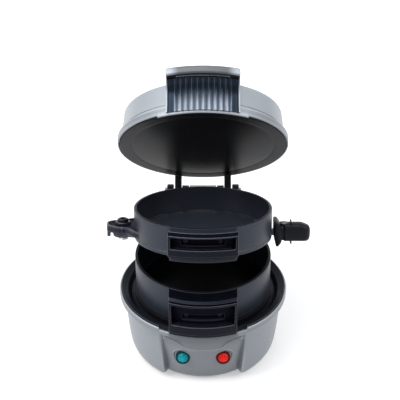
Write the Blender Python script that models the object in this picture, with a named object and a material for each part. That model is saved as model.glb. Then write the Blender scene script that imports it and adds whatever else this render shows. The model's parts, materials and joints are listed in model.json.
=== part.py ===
"""A breakfast sandwich maker: a round base, two hinged rings, a swing-out plate and a hinged lid.

Every piece is drawn in the closed machine's own frame: the base's axis is x = y = 0, the table is z = 0,
the front is -Y. The rings and the lid hang on one pin at the back, each under an empty on that pin,
and the empties are turned to the half open pose.
"""

import math

import bmesh
import bpy
import numpy as np
from mathutils import Matrix, Vector

MM = 0.001

# Driving sizes
RING_RADIUS = 57.0 * MM
RING_WALL = 2.5 * MM
RIM_REACH = 14.0 * MM
RIM_RADIUS = RING_RADIUS + RIM_REACH
BASE_HEIGHT = 63.0 * MM
BOTTOM_RING_HEIGHT = 31.5 * MM
TOP_RING_HEIGHT = 21.0 * MM
PLATE_THICKNESS = 3.0 * MM
LID_HEIGHT = 31.0 * MM
GAP = 0.3 * MM
SHELL_WALL = 2.0 * MM
OVERRUN = 4.0 * MM
STAND_X = 4.8 * MM
STAND_Y = 14.5 * MM

# Rest pose, in degrees
TOP_RING_ANGLE = 14.0
LID_ANGLE = 52.0

# Heights of the closed stack
BOTTOM_RING_Z = BASE_HEIGHT
PLATE_Z = BOTTOM_RING_Z + BOTTOM_RING_HEIGHT + GAP
TOP_RING_Z = PLATE_Z + PLATE_THICKNESS + GAP
LID_Z = TOP_RING_Z + TOP_RING_HEIGHT + GAP
LID_TOP_Z = LID_Z + LID_HEIGHT

# Facets of round pieces
ROUND = 40
FINE = 24
SMALL = 16
TINY = 8
HEX = 6

# Hinge
PIN_BEHIND = 5.0 * MM
PIN_LIFT = 9.9 * MM
PIN_Y = RIM_RADIUS + PIN_BEHIND
PIN_Z = TOP_RING_Z + PIN_LIFT
PIN_RADIUS = 2.5 * MM
PIN_CLEARANCE = 0.15 * MM
PIN_HEAD_RADIUS = 4.2 * MM
PIN_HEAD_LENGTH = 2.0 * MM
KNUCKLE_RADIUS = 6.0 * MM
KNUCKLE_GAP = 0.5 * MM
TOP_KNUCKLE_HALF = 12.0 * MM
BOTTOM_KNUCKLE_WIDTH = 6.0 * MM
LID_KNUCKLE_WIDTH = 6.0 * MM
CHEEK_WIDTH = 6.0 * MM
ARM_SINK = 0.8 * MM
ARM_DEPTH = 6.0 * MM
ARM_MARGIN = 2.0 * MM
BOTTOM_ARM_MARGIN = 3.5 * MM
BOTTOM_ARM_HEIGHT = 12.5 * MM
BOTTOM_KNUCKLE_X = TOP_KNUCKLE_HALF + KNUCKLE_GAP
LID_KNUCKLE_X = BOTTOM_KNUCKLE_X + BOTTOM_KNUCKLE_WIDTH + KNUCKLE_GAP
CHEEK_X = LID_KNUCKLE_X + LID_KNUCKLE_WIDTH + KNUCKLE_GAP
HINGE_HALF = CHEEK_X + CHEEK_WIDTH
TOWER_BEHIND = 8.0 * MM
TOWER_WEB = 3.5 * MM
TOWER_WEB_DROP = 20.0 * MM
TOWER_REACH = 9.0 * MM
TOWER_BEVEL = 4.0 * MM
CHEEK_FRONT = 5.5 * MM
TOWER_FOOT_Z = 20.0 * MM
TOWER_FOOT_Y = RIM_RADIUS - TOWER_REACH
TOWER_BACK_Y = PIN_Y + TOWER_BEHIND
TOWER_WEB_TOP_Z = PIN_Z - TOWER_WEB_DROP
CHEEK_FRONT_Y = PIN_Y - CHEEK_FRONT
CHEEK_RADIUS = 7.0 * MM

# Base housing: the turned wall's and the front panel's depths inside the rim, at shares of their height
NOTCH_HALF = 36.6 * MM
NOTCH_DROP = 1.7 * MM
PANEL_TOP_HALF = 33.5 * MM
PANEL_FOOT_HALF = 29.3 * MM
BODY_FOOT_HALF = 34.6 * MM
CREASE = 1.2 * MM
EDGE_LIMIT_SHARE = 0.8
PANEL_COLUMNS = 8
BODY_COLUMNS = 30
FOOT_HEIGHT = 2.0 * MM
FLANGE_HEIGHT = 5.4 * MM
FLANGE_LIP = 1.2 * MM
SEAT_DROP = 4.1 * MM
COVER_INSET = 23.0 * MM
COVER_RADIUS = RIM_RADIUS - COVER_INSET
COVER_LEDGE = 3.5 * MM
COVER_THICKNESS = 1.9 * MM
LEDGE_THICKNESS = 1.6 * MM
BODY_DEPTHS = (15.6 * MM, 13.1 * MM, 10.8 * MM, 8.5 * MM, 7.0 * MM, 6.0 * MM, 5.0 * MM, 4.4 * MM)
PANEL_DEPTHS = (21.1 * MM, 19.4 * MM, 17.2 * MM, 15.4 * MM, 12.6 * MM, 10.0 * MM, 7.6 * MM, 5.8 * MM)
WALL_SHARES = (0.0, 0.0236, 0.0764, 0.1727, 0.3455, 0.5636, 0.7818, 0.9091)
WALL_HEIGHT = BASE_HEIGHT - GAP * 2 - FLANGE_HEIGHT - FOOT_HEIGHT
BODY_WALL = [(RIM_RADIUS - depth, WALL_HEIGHT * share) for depth, share in zip(BODY_DEPTHS, WALL_SHARES)]
PANEL_WALL = [(RIM_RADIUS - depth, WALL_HEIGHT * share) for depth, share in zip(PANEL_DEPTHS, WALL_SHARES)]
FLANGE_REACH = 4.2 * MM
FLANGE_ROOT = RIM_RADIUS - FLANGE_REACH

# Bezel between the housing and the lower heating plate
HEATER_REACH = 1.5 * MM
HEATER_RADIUS = RING_RADIUS + HEATER_REACH
HEATER_THICKNESS = 3.0 * MM
HEATER_SKIRT = 2.5 * MM
HEATER_SKIRT_DEPTH = 5.5 * MM
HEATER_EDGE = 1.2 * MM
BEZEL_RADIUS = RIM_RADIUS - FLANGE_LIP - GAP * 2
BEZEL_WALL = 1.2 * MM
BEZEL_CORNER = 1.0 * MM
BEZEL_LIP = 0.8 * MM
BEZEL_LIP_RISE = 0.6 * MM
BEZEL_LEDGE_REACH = 4.5 * MM
BEZEL_LEDGE_RADIUS = HEATER_RADIUS - BEZEL_LEDGE_REACH
BEZEL_LEDGE = 1.9 * MM
MOAT_REACH = 1.7 * MM
MOAT_RADIUS = HEATER_RADIUS + MOAT_REACH
MOAT_SHARES = (0.6, 0.92)

# Indicator lamps in a shallow recess of the front panel
RECESS_HALF = 24.0 * MM
RECESS_LOW_Z = 17.0 * MM
RECESS_HIGH_Z = 37.4 * MM
RECESS_DEPTH = 1.1 * MM
RECESS_ROUND = 7.0 * MM
LAMP_X = 16.7 * MM
LAMP_Z = 29.1 * MM
LAMP_TURN_SHARE = 0.2
LAMP_TILT = 10.0
LENS_RADIUS = 4.9 * MM
LENS_DOME = 2.6 * MM
LENS_SEAT = 2.0 * MM
LENS_RISE = 0.6 * MM
LENS_STEPS = 4
LENS_RING_WALL = 0.7 * MM
LENS_RING_PROUD = 2.2 * MM
LENS_RING_EDGE = 0.3 * MM
LENS_RING_LENGTH = 5.4 * MM
LAMP_RADIUS = 2.6 * MM
LAMP_TIP_SHARE = 0.6
LAMP_LENGTH = 12.0 * MM
LAMP_SEAT = 3.0 * MM

# Feet, cover and screws
FOOT_RADIUS = 6.0 * MM
FOOT_EDGE_SHARE = 0.9
FOOT_INSET = 8.0 * MM
FOOT_CIRCLE = COVER_RADIUS - FOOT_INSET
SCREW_INSET = 21.0 * MM
SCREW_CIRCLE = COVER_RADIUS - SCREW_INSET
SCREW_RADIUS = 1.4 * MM
SCREW_HEAD_RADIUS = 2.8 * MM
SCREW_HEAD = 1.6 * MM
HEAD_EDGE_SHARE = 0.8
SCREW_CLEARANCE = 0.3 * MM
SOCKET_RADIUS = 1.2 * MM
SOCKET_DEPTH = 0.9 * MM
COVER_SCREW_LENGTH = 8.0 * MM

# Parts inside the base and the lid
ELEMENT_INSET = 20.5 * MM
ELEMENT_RADIUS = HEATER_RADIUS - ELEMENT_INSET
ELEMENT_TUBE = 3.3 * MM
ELEMENT_OPEN_ANGLE = 50.0
ELEMENT_STEPS = 20
SHIELD_CLEARANCE = 1.0 * MM
SHIELD_RADIUS = BEZEL_LEDGE_RADIUS - SHIELD_CLEARANCE
SHIELD_SHEET = 0.8 * MM
SHIELD_RIM = 5.0 * MM
THERMOSTAT_RADIUS = 9.0 * MM
THERMOSTAT_HEIGHT = 6.0 * MM
THERMOSTAT_X = 14.0 * MM
THERMOSTAT_CAP_SHARE = 0.7
TERMINAL_WIDTH = 26.0 * MM
TERMINAL_DEPTH = 16.0 * MM
TERMINAL_HEIGHT = 12.0 * MM
TERMINAL_Y = 18.0 * MM
FUSE_RADIUS = 2.2 * MM
FUSE_LENGTH = 24.0 * MM
FUSE_Y = -14.0 * MM
GLAND_RADIUS = 5.5 * MM
GLAND_HOLE_RADIUS = 3.2 * MM
GLAND_NECK = 4.4 * MM
GLAND_FLANGE = 2.0 * MM
GLAND_LENGTH = 14.0 * MM
GLAND_Z = 12.0 * MM

# Ring handles: the boxed grips at the front of the rings
GRIP_HALF = 27.4 * MM
GRIP_FRAME = 2.9 * MM
GRIP_PROUD = 1.6 * MM
GRIP_LIP = 1.2 * MM
GRIP_SLOPE = 4.6 * MM
GRIP_DEPTH = 5.8 * MM
GRIP_FACE_RADIUS = RIM_RADIUS + GRIP_PROUD
GRIP_LIP_RADIUS = GRIP_FACE_RADIUS + GRIP_LIP
GRIP_TOP_RADIUS = GRIP_FACE_RADIUS - GRIP_SLOPE
GRIP_FLOOR_RADIUS = GRIP_FACE_RADIUS - GRIP_DEPTH
GRIP_STEP = 1.9 * MM
GRIP_BAR = 2.6 * MM
BOTTOM_GRIP_DROP = 1.8 * MM
BOTTOM_GRIP_SILL = 8.7 * MM
BOTTOM_GRIP_BAND = 3.0 * MM
TOP_GRIP_SILL = 8.8 * MM
TOP_GRIP_BAND = 3.4 * MM
BOTTOM_BAND_INSET = 0.2 * MM
TOP_BAND_INSET = 4.1 * MM
SLOT_HALF = 16.8 * MM
BOTTOM_SLOT_HEIGHT = 5.6 * MM
TOP_SLOT_HEIGHT = 4.6 * MM
SLOT_DEPTH = 3.0 * MM
BOTTOM_SLOT_DROP = 3.5 * MM
GRIP_SCREW_X = 13.6 * MM
GRIP_SCREW_RADIUS = 1.0 * MM
GRIP_SCREW_HEAD = 1.2 * MM
RING_SCREW_SINK = 1.6 * MM
ARC_COLUMNS = 10

# Swing-out cooking plate
PIVOT_REACH = 9.5 * MM
PIVOT_X = -RING_RADIUS - PIVOT_REACH
PIVOT_Y = 2.5 * MM
PIVOT_RADIUS = 2.5 * MM
EAR_RADIUS = 8.6 * MM
EAR_NECK_HALF = 12.0 * MM
EAR_DROP = 1.3 * MM
TONGUE_HALF = 26.5 * MM
TONGUE_INSET = 5.4 * MM
TONGUE_RADIUS = GRIP_FACE_RADIUS - TONGUE_INSET
TANG_HALF = 5.0 * MM
TANG_REACH = 15.0 * MM
TANG_END_X = RING_RADIUS + TANG_REACH
COLLAR_REACH = 1.6 * MM
COLLAR_X = RING_RADIUS + COLLAR_REACH
COLLAR_THICKNESS = 4.0 * MM
COLLAR_HALF = 8.5 * MM
COLLAR_RISE = 11.2 * MM
COLLAR_FALL = 10.4 * MM
COLLAR_FOOT_HALF = 2.6 * MM
COLLAR_SHOULDER = 6.0 * MM
HANDLE_NECK = 3.7 * MM
HANDLE_LENGTH = 26.3 * MM
HANDLE_START_X = COLLAR_X + COLLAR_THICKNESS + GAP
HANDLE_NECK_X = HANDLE_START_X + HANDLE_NECK
HANDLE_END_X = HANDLE_START_X + HANDLE_LENGTH
HANDLE_HALF = 6.4 * MM
HANDLE_RISE = 7.6 * MM
HANDLE_FALL = 6.8 * MM
HANDLE_NECK_HALF = 5.6 * MM
HANDLE_ROUND = 6.0 * MM
HANDLE_BEVEL = 1.6 * MM
HANDLE_TURN_STEPS = 6
RIB_PLACE = 9.5 * MM
RIB_X = HANDLE_START_X + RIB_PLACE
RIB_WIDTH = 1.2 * MM
RIB_PROUD = 1.8 * MM
HANDLE_SCREW_PLACE = 4.1 * MM
HANDLE_SCREW_X = HANDLE_START_X + HANDLE_SCREW_PLACE
HANDLE_SCREW_HEAD = 1.5 * MM

# Ear of the top ring, with its stop
TOP_EAR_LIFT = 0.6 * MM
TOP_EAR_THICKNESS = 5.8 * MM
EAR_TIP_REACH = 13.1 * MM
EAR_TIP_X = PIVOT_X - EAR_TIP_REACH
EAR_TIP_HALF = 5.2 * MM
EAR_TIP_CORNER = 2.6 * MM
EAR_TIP_FRONT = 6.2 * MM
EAR_TIP_SLOPE = 9.4 * MM
EAR_FRONT_Y = -22.0 * MM
EAR_BACK_Y = 17.0 * MM
EAR_ROOT_SINK = 4.5 * MM
EAR_ROOT_X = EAR_ROOT_SINK - RING_RADIUS
STOP_WIDTH = 3.0 * MM
STOP_LENGTH = 5.0 * MM
STOP_DROP = 3.8 * MM
PIVOT_HEAD_RADIUS = 4.6 * MM
PIVOT_HEAD = 2.2 * MM
PIVOT_HEAD_SIDE_SHARE = 0.6
WASHER_RADIUS = 6.2 * MM
WASHER_THICKNESS = 0.8 * MM
NUT_RADIUS = 4.4 * MM
NUT_HEIGHT = 2.8 * MM

# Lid
APRON_HALF = 36.4 * MM
APRON_DROP = 1.5 * MM
LID_FLANGE = 6.0 * MM
LID_CORNER = 4.6 * MM
LID_SEAT = 2.6 * MM
LID_SKIRT_INSET = 3.5 * MM
LID_TAPER = 1.5 * MM
LID_SKIRT_RADIUS = RIM_RADIUS - LID_SKIRT_INSET
LID_TOP_RADIUS = LID_SKIRT_RADIUS - LID_TAPER
LID_CROWN = 1.3 * MM
CORNER_STEPS = 3
CROWN_SHARES = (0.75, 0.4)
CAP_CLEARANCE = 0.4 * MM

# Lid handle
LID_GRIP_HALF = 29.0 * MM
LID_GRIP_SIDE = 1.8 * MM
LID_GRIP_PROUD = 2.2 * MM
LID_GRIP_REACH = 12.8 * MM
LID_GRIP_FOOT_RADIUS = RIM_RADIUS + LID_GRIP_PROUD
LID_GRIP_LIP_RADIUS = LID_GRIP_FOOT_RADIUS + LID_GRIP_REACH
LID_GRIP_LIP = 6.6 * MM
LID_GRIP_RISE = 1.2 * MM
LID_GRIP_BEVEL = 1.6 * MM
LID_GRIP_FOOT_LIFT = 0.7 * MM
COVE_START_SHARE = 0.42
COVE_ROWS = 5
RIB_COUNT = 10
RIB_STEPS = 4
RIB_PITCH = 4.45 * MM
RIB_HEIGHT = 1.1 * MM

# Hinge bracket on the lid
BRACKET_DROP = 6.4 * MM
BRACKET_HEIGHT = 15.0 * MM
BRACKET_DEPTH = 6.0 * MM
BRACKET_REACH = 15.5 * MM
BRACKET_TOP_Z = LID_TOP_Z - BRACKET_DROP
BRACKET_PLATE_Z = BRACKET_TOP_Z - BRACKET_HEIGHT
BRACKET_BACK_Y = LID_SKIRT_RADIUS + BRACKET_DEPTH
BRACKET_FRONT_Y = BRACKET_BACK_Y - BRACKET_REACH
BRACKET_SCREW_X = 10.0 * MM
BACK_SCREW_LENGTH = 6.0 * MM

SILVER = ((0.42, 0.43, 0.45), 0.38, 0.55)
BLACK = ((0.02, 0.022, 0.026), 0.42, 0.0)
COATING = ((0.035, 0.038, 0.044), 0.36, 0.35)
SMOKED = ((0.05, 0.055, 0.065), 0.15, 0.6)
STEEL = ((0.55, 0.56, 0.57), 0.3, 1.0)
GREEN = ((0.0, 0.36, 0.38), 0.15, 0.0)
RED = ((0.75, 0.03, 0.02), 0.15, 0.0)
RUBBER = ((0.03, 0.03, 0.03), 0.8, 0.0)
PALE = ((0.75, 0.72, 0.65), 0.6, 0.0)
AMBER = ((0.7, 0.35, 0.15), 0.2, 0.0)


def clear_scene():
    for item in list(bpy.data.objects):
        bpy.data.objects.remove(item, do_unlink=True)
    for mesh in list(bpy.data.meshes):
        bpy.data.meshes.remove(mesh)


def material(name, finish):
    colour, roughness, metallic = finish
    made = bpy.data.materials.new(name)
    made.use_nodes = True
    shader = made.node_tree.nodes["Principled BSDF"]
    shader.inputs["Base Color"].default_value = (*colour, 1.0)
    shader.inputs["Roughness"].default_value = roughness
    shader.inputs["Metallic"].default_value = metallic
    made.diffuse_color = (*colour, 1.0)
    return made


def empty(name, place, parent=None, angle=0.0):
    """An axis: an empty at place, turned by angle degrees with the front going up."""
    axis = bpy.data.objects.new(name, None)
    bpy.context.collection.objects.link(axis)
    axis.parent = parent
    axis.location = place
    axis.rotation_euler = (-math.radians(angle), 0.0, 0.0)
    return axis


def solid(name, points, faces, body, finish=None, sharp=35.0):
    """A closed mesh of the body, its points given in the closed machine's frame."""
    mesh = bpy.data.meshes.new(name)
    mesh.from_pydata([Vector(p) - body["origin"] for p in points], [], faces)
    work = bmesh.new()
    work.from_mesh(mesh)
    bmesh.ops.recalc_face_normals(work, faces=work.faces)
    work.to_mesh(mesh)
    work.free()
    mesh.shade_smooth()
    mesh.set_sharp_from_angle(angle=math.radians(sharp))
    piece = bpy.data.objects.new(name, mesh)
    bpy.context.collection.objects.link(piece)
    piece.parent = body["axis"]
    if finish is None:
        piece.hide_render = True
        piece.display_type = "WIRE"
    else:
        mesh.materials.append(material(name, finish))
    return piece


def combine(piece, other, operation):
    step = piece.modifiers.new(operation.lower(), "BOOLEAN")
    step.operation = operation
    step.object = other
    step.solver = "EXACT"
    return piece


def lathe_faces(rows, columns):
    """Faces of a closed loop of rows, each a closed loop of columns."""
    faces = []
    for i in range(rows):
        j = (i + 1) % rows
        for k in range(columns):
            m = (k + 1) % columns
            faces.append((i * columns + k, j * columns + k, j * columns + m, i * columns + m))
    return faces


def turned(name, profile, body, finish=None, centre=(0.0, 0.0), steps=ROUND, sharp=35.0):
    """A closed profile of (radius, height) points turned about a vertical axis at centre."""
    points, rings = [], []
    for radius, height in profile:
        if radius <= 0:
            rings.append([len(points)])
            points.append((centre[0], centre[1], height))
            continue
        rings.append(list(range(len(points), len(points) + steps)))
        for k in range(steps):
            turn = 2 * math.pi * (k + 0.5) / steps
            points.append(
                (centre[0] + radius * math.cos(turn), centre[1] + radius * math.sin(turn), height)
            )
    faces = []
    for low, high in zip(rings, rings[1:] + rings[:1]):
        for k in range(steps):
            m = (k + 1) % steps
            if len(low) == 1 and len(high) == 1:
                continue
            if len(low) == 1:
                faces.append((low[0], high[k], high[m]))
            elif len(high) == 1:
                faces.append((low[k], high[0], low[m]))
            else:
                faces.append((low[k], high[k], high[m], low[m]))
    return solid(name, points, faces, body, finish, sharp)


def rod(name, start, end, radius, body, finish=None, steps=SMALL):
    """A round bar from start to end."""
    start, end = Vector(start), Vector(end)
    turn = (end - start).to_track_quat("Z", "Y").to_matrix()
    points = []
    for place in (start, end):
        for k in range(steps):
            angle = 2 * math.pi * (k + 0.5) / steps
            offset = turn @ Vector((radius * math.cos(angle), radius * math.sin(angle), 0.0))
            points.append(place + offset)
    faces = [tuple(range(steps)), tuple(range(steps, 2 * steps))]
    for k in range(steps):
        m = (k + 1) % steps
        faces.append((k, m, steps + m, steps + k))
    return solid(name, points, faces, body, finish)


def stepped_rod(name, place, direction, profile, body, finish=None, steps=SMALL):
    """A turned piece whose profile runs along direction from place, from axis to axis."""
    turn = Vector(direction).to_track_quat("Z", "Y").to_matrix()
    piece = turned(name, profile, {"axis": body["axis"], "origin": Vector((0, 0, 0))}, finish, steps=steps)
    move = Matrix.Translation(Vector(place) - body["origin"]) @ turn.to_4x4()
    piece.data.transform(move)
    return piece


def prism(name, outline, low, high, along, body, finish=None, sharp=35.0):
    """An outline carried from low to high along x, y or z; its points are the other two."""
    points = []
    for level in (low, high):
        for u, v in outline:
            points.append({"x": (level, u, v), "y": (u, level, v), "z": (u, v, level)}[along])
    count = len(outline)
    faces = [tuple(range(count)), tuple(range(count, 2 * count))]
    for k in range(count):
        m = (k + 1) % count
        faces.append((k, m, count + m, count + k))
    return solid(name, points, faces, body, finish, sharp)


def front_arc(name, profile, half, body, finish=None, columns=ARC_COLUMNS, sharp=35.0):
    """A closed profile of (radius, height) swept round the front between x = -half and x = half."""
    points = []
    count = len(profile)
    for k in range(columns + 1):
        x = half * (2 * k / columns - 1)
        for radius, height in profile:
            points.append((x, -math.sqrt(radius**2 - x**2), height))
    faces = [tuple(range(count)), tuple(range(columns * count, (columns + 1) * count))]
    for k in range(columns):
        for i in range(count):
            j = (i + 1) % count
            faces.append((k * count + i, k * count + j, (k + 1) * count + j, (k + 1) * count + i))
    return solid(name, points, faces, body, finish, sharp)


def inset(outline, distance):
    """The outline drawn in by distance along its corners' normals."""
    drawn = []
    for k, here in enumerate(outline):
        before = Vector(here) - Vector(outline[k - 1])
        after = Vector(outline[(k + 1) % len(outline)]) - Vector(here)
        first = Vector((-before.y, before.x)).normalized()
        second = Vector((-after.y, after.x)).normalized()
        middle = (first + second).normalized()
        drawn.append(tuple(Vector(here) + middle * distance / max(middle.dot(first), 0.5)))
    return drawn


def pillow(name, outline, low, high, edge, body, finish=None):
    """An upright block with an anticlockwise outline and rounded edges above and below."""
    steps = [math.pi / 2 * k / 2 for k in range(3)]
    draw = [edge * (1 - math.sin(t)) for t in steps]
    lift = [edge * (1 - math.cos(t)) for t in steps]
    levels = [(d, low + z) for d, z in zip(draw, lift)]
    levels += [(d, high - z) for d, z in zip(draw[::-1], lift[::-1])]
    points = []
    for distance, height in levels:
        points += [(x, y, height) for x, y in inset(outline, distance)]
    count = len(outline)
    faces = [tuple(range(count)), tuple(range((len(levels) - 1) * count, len(levels) * count))]
    for i in range(len(levels) - 1):
        for k in range(count):
            m = (k + 1) % count
            faces.append((i * count + k, i * count + m, (i + 1) * count + m, (i + 1) * count + k))
    return solid(name, points, faces, body, finish)


def hull_outline(points):
    """The convex outline round a set of points, anticlockwise."""
    points = sorted(set(points))

    def half(sequence):
        chain = []
        for p in sequence:
            while len(chain) > 1:
                a, b = chain[-2], chain[-1]
                if (b[0] - a[0]) * (p[1] - a[1]) - (b[1] - a[1]) * (p[0] - a[0]) > 0:
                    break
                chain.pop()
            chain.append(p)
        return chain[:-1]

    return half(points) + half(reversed(points))


def circle(centre, radius, steps=SMALL):
    turns = [2 * math.pi * (k + 0.5) / steps for k in range(steps)]
    return [(centre[0] + radius * math.cos(t), centre[1] + radius * math.sin(t)) for t in turns]


def interpolate(height, wall):
    heights = [z for r, z in wall]
    return float(np.interp(height, heights, [r for r, z in wall]))


def rimmed_shell(name, rows, edges, body, finish, crown=None):
    """A turned shell whose front stretch follows a second profile.

    Each row gives (radius, height) on the round and at the front. The edges at a height are the
    half widths where the round ends and where the front starts, with a crease between them. A
    crown closes the shell over its middle: the last outer row, then the two middle points' heights.
    """
    points = []
    for (radius, height), (front_radius, front_height) in rows:
        round_half, front_half = edges(front_height)
        fit = min(EDGE_LIMIT_SHARE * radius / round_half, 1.0)
        for k in range(PANEL_COLUMNS + 1):
            x = front_half * fit * (2 * k / PANEL_COLUMNS - 1)
            points.append((x, -math.sqrt(front_radius**2 - x**2), front_height))
        turned_away = math.asin(round_half * fit / radius)
        start = -math.pi / 2 + turned_away
        sweep = 2 * math.pi - 2 * turned_away
        for k in range(BODY_COLUMNS + 1):
            turn = start + sweep * k / BODY_COLUMNS
            points.append((radius * math.cos(turn), radius * math.sin(turn), height))
    columns = PANEL_COLUMNS + BODY_COLUMNS + 2
    faces = lathe_faces(len(rows), columns)
    if crown:
        outer, heights = crown
        del faces[outer * columns : (outer + 1) * columns]
        for row, height in zip((outer, outer + 1), heights):
            centre = len(points)
            points.append((0.0, 0.0, height))
            for k in range(columns):
                faces.append((row * columns + k, row * columns + (k + 1) % columns, centre))
    return solid(name, points, faces, body, finish)


def screw(name, place, direction, length, body, head=SCREW_HEAD, radius=SCREW_RADIUS, finish=STEEL):
    """A pan head screw with a round socket; direction points out of its head, place is under it."""
    wide = SCREW_HEAD_RADIUS * radius / SCREW_RADIUS
    socket = SOCKET_RADIUS * radius / SCREW_RADIUS
    depth = min(SOCKET_DEPTH, head / 2)
    profile = [
        (0, -length),
        (radius, -length),
        (radius, 0),
        (wide, 0),
        (wide, head / 2),
        (wide * HEAD_EDGE_SHARE, head),
        (socket, head),
        (socket, head - depth),
        (0, head - depth),
    ]
    return stepped_rod(name, place, direction, profile, body, finish, steps=TINY)


def housing_rows():
    """The housing's closed wall section on the round and at the front panel, outside first."""
    floor = FOOT_HEIGHT
    rim = BASE_HEIGHT - GAP * 2
    seat = BASE_HEIGHT - SEAT_DROP
    flange = rim - FLANGE_HEIGHT
    bevel = FLANGE_LIP / 2
    rows = [((COVER_RADIUS, floor), (COVER_RADIUS, floor))]
    for (r, z), (front_r, front_z) in zip(BODY_WALL, PANEL_WALL):
        rows.append(((r, floor + z), (front_r, floor + front_z)))
    top = FLANGE_ROOT
    rows.append(((top, flange - bevel), (top, flange - bevel)))
    rows.append(((RIM_RADIUS - bevel, flange), (RIM_RADIUS - bevel, flange)))
    rows.append(((RIM_RADIUS, flange + bevel), (RIM_RADIUS, flange + bevel)))
    rows.append(((RIM_RADIUS, rim - bevel), (RIM_RADIUS, rim - bevel - NOTCH_DROP)))
    rows.append(((RIM_RADIUS - bevel, rim), (RIM_RADIUS - bevel, rim - NOTCH_DROP)))
    inside = RIM_RADIUS - FLANGE_LIP
    rows.append(((inside, rim), (inside, rim - NOTCH_DROP)))
    rows.append(((inside, seat), (inside, seat)))
    rows.append(((top - SHELL_WALL, seat), (top - SHELL_WALL, seat)))
    for (r, z), (front_r, front_z) in zip(BODY_WALL[:2:-2], PANEL_WALL[:2:-2]):
        rows.append(((r - SHELL_WALL, floor + z), (front_r - SHELL_WALL, floor + front_z)))
    ledge = floor + COVER_THICKNESS + GAP
    wall, front_wall = BODY_WALL[2], PANEL_WALL[2]
    deep = ledge + LEDGE_THICKNESS
    rows.append(((wall[0] - SHELL_WALL, deep), (front_wall[0] - SHELL_WALL, deep)))
    inner = COVER_RADIUS - COVER_LEDGE
    rows.append(((inner, deep), (inner, deep)))
    rows.append(((inner, ledge), (inner, ledge)))
    rows.append(((COVER_RADIUS, ledge), (COVER_RADIUS, ledge)))
    return rows


def panel_edges(height):
    """Where the round wall ends and the front panel starts: their crease widens to the foot."""
    top = BASE_HEIGHT - GAP * 2 - FLANGE_HEIGHT
    if height >= top:
        return NOTCH_HALF, NOTCH_HALF - CREASE
    share = (height - FOOT_HEIGHT) / (top - FOOT_HEIGHT)
    round_half = BODY_FOOT_HALF + (NOTCH_HALF - BODY_FOOT_HALF) * share
    return round_half, PANEL_FOOT_HALF + (PANEL_TOP_HALF - PANEL_FOOT_HALF) * share


def recess_radius(height):
    """The recess floor: it meets the panel at its low end and lies deepest at its high end."""
    low = interpolate(RECESS_LOW_Z - FOOT_HEIGHT, PANEL_WALL)
    high = interpolate(RECESS_HIGH_Z - FOOT_HEIGHT, PANEL_WALL) - RECESS_DEPTH
    return low + (high - low) * (height - RECESS_LOW_Z) / (RECESS_HIGH_Z - RECESS_LOW_Z)


def make_recess(base, housing):
    """The round-cornered recess that the lamps sit in."""
    low, high = RECESS_LOW_Z, RECESS_HIGH_Z
    reach = RIM_RADIUS + OVERRUN
    block = [(recess_radius(low), low), (reach, low), (reach, high), (recess_radius(high), high)]
    cut = front_arc("recess_cut", block, RECESS_HALF, base)
    side, corner = RECESS_HALF - RECESS_ROUND, RECESS_ROUND
    upper, lower = high - corner, low + corner
    outline = []
    for quarter, (x, z) in enumerate(((side, upper), (-side, upper), (-side, lower), (side, lower))):
        for k in range(CORNER_STEPS + 1):
            turn = math.pi / 2 * (quarter + k / CORNER_STEPS)
            outline.append((x + corner * math.cos(turn), z + corner * math.sin(turn)))
    window = prism("recess_window", outline, -reach - OVERRUN, -COVER_RADIUS / 2, "y", base)
    combine(cut, window, "INTERSECT")
    combine(housing, cut, "DIFFERENCE")


def lamps(base, housing):
    """Each indicator: a dark ring in the recess, a domed lens in the ring, a lamp behind the lens."""
    bore = LENS_RADIUS + GAP
    outside = bore + LENS_RING_WALL
    proud = LENS_RING_PROUD
    floor = recess_radius(LAMP_Z)
    for side, label, colour in ((-1, "green", GREEN), (1, "red", RED)):
        x = side * LAMP_X
        place = Vector((x, -math.sqrt(floor**2 - x**2), LAMP_Z))
        turn = math.asin(x / floor) * LAMP_TURN_SHARE
        tilt = math.radians(LAMP_TILT)
        flat = Vector((math.sin(turn), -math.cos(turn), 0.0))
        out = flat * math.cos(tilt) + Vector((0.0, 0.0, math.sin(tilt)))
        cut = rod(label + "_hole", place - out * OVERRUN * 2, place + out * OVERRUN, outside + GAP, base)
        combine(housing, cut, "DIFFERENCE")
        ring = [
            (bore, proud - LENS_RING_LENGTH),
            (outside, proud - LENS_RING_LENGTH),
            (outside, proud - LENS_RING_EDGE),
            (outside - LENS_RING_EDGE, proud),
            (bore, proud),
        ]
        stepped_rod(label + "_lens_ring", place, out, ring, base, BLACK)
        back = proud - LENS_SEAT
        edge = proud + LENS_RISE
        lens = [(0, back), (LENS_RADIUS, back), (LENS_RADIUS, edge)]
        for k in range(1, LENS_STEPS):
            angle = math.pi / 2 * k / LENS_STEPS
            lens.append((LENS_RADIUS * math.cos(angle), edge + LENS_DOME * math.sin(angle)))
        lens.append((0, edge + LENS_DOME))
        stepped_rod(label + "_lens", place, out, lens, base, colour)
        start = back - GAP
        bulb = [
            (0, start - LAMP_LENGTH),
            (LAMP_RADIUS, start - LAMP_LENGTH),
            (LAMP_RADIUS, start - LAMP_SEAT),
            (LAMP_RADIUS * LAMP_TIP_SHARE, start),
            (0, start),
        ]
        stepped_rod(label + "_lamp", place, out, bulb, base, AMBER, steps=TINY)


def heater_profile(face, up):
    """A heating plate: a disc with a turned skirt; up is 1 where its face points up, -1 where down."""
    inner = HEATER_RADIUS - HEATER_SKIRT
    return [
        (0, face),
        (HEATER_RADIUS - HEATER_EDGE, face),
        (HEATER_RADIUS, face - up * HEATER_EDGE),
        (HEATER_RADIUS, face - up * HEATER_SKIRT_DEPTH),
        (inner, face - up * HEATER_SKIRT_DEPTH),
        (inner, face - up * HEATER_THICKNESS),
        (0, face - up * HEATER_THICKNESS),
    ]


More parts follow.
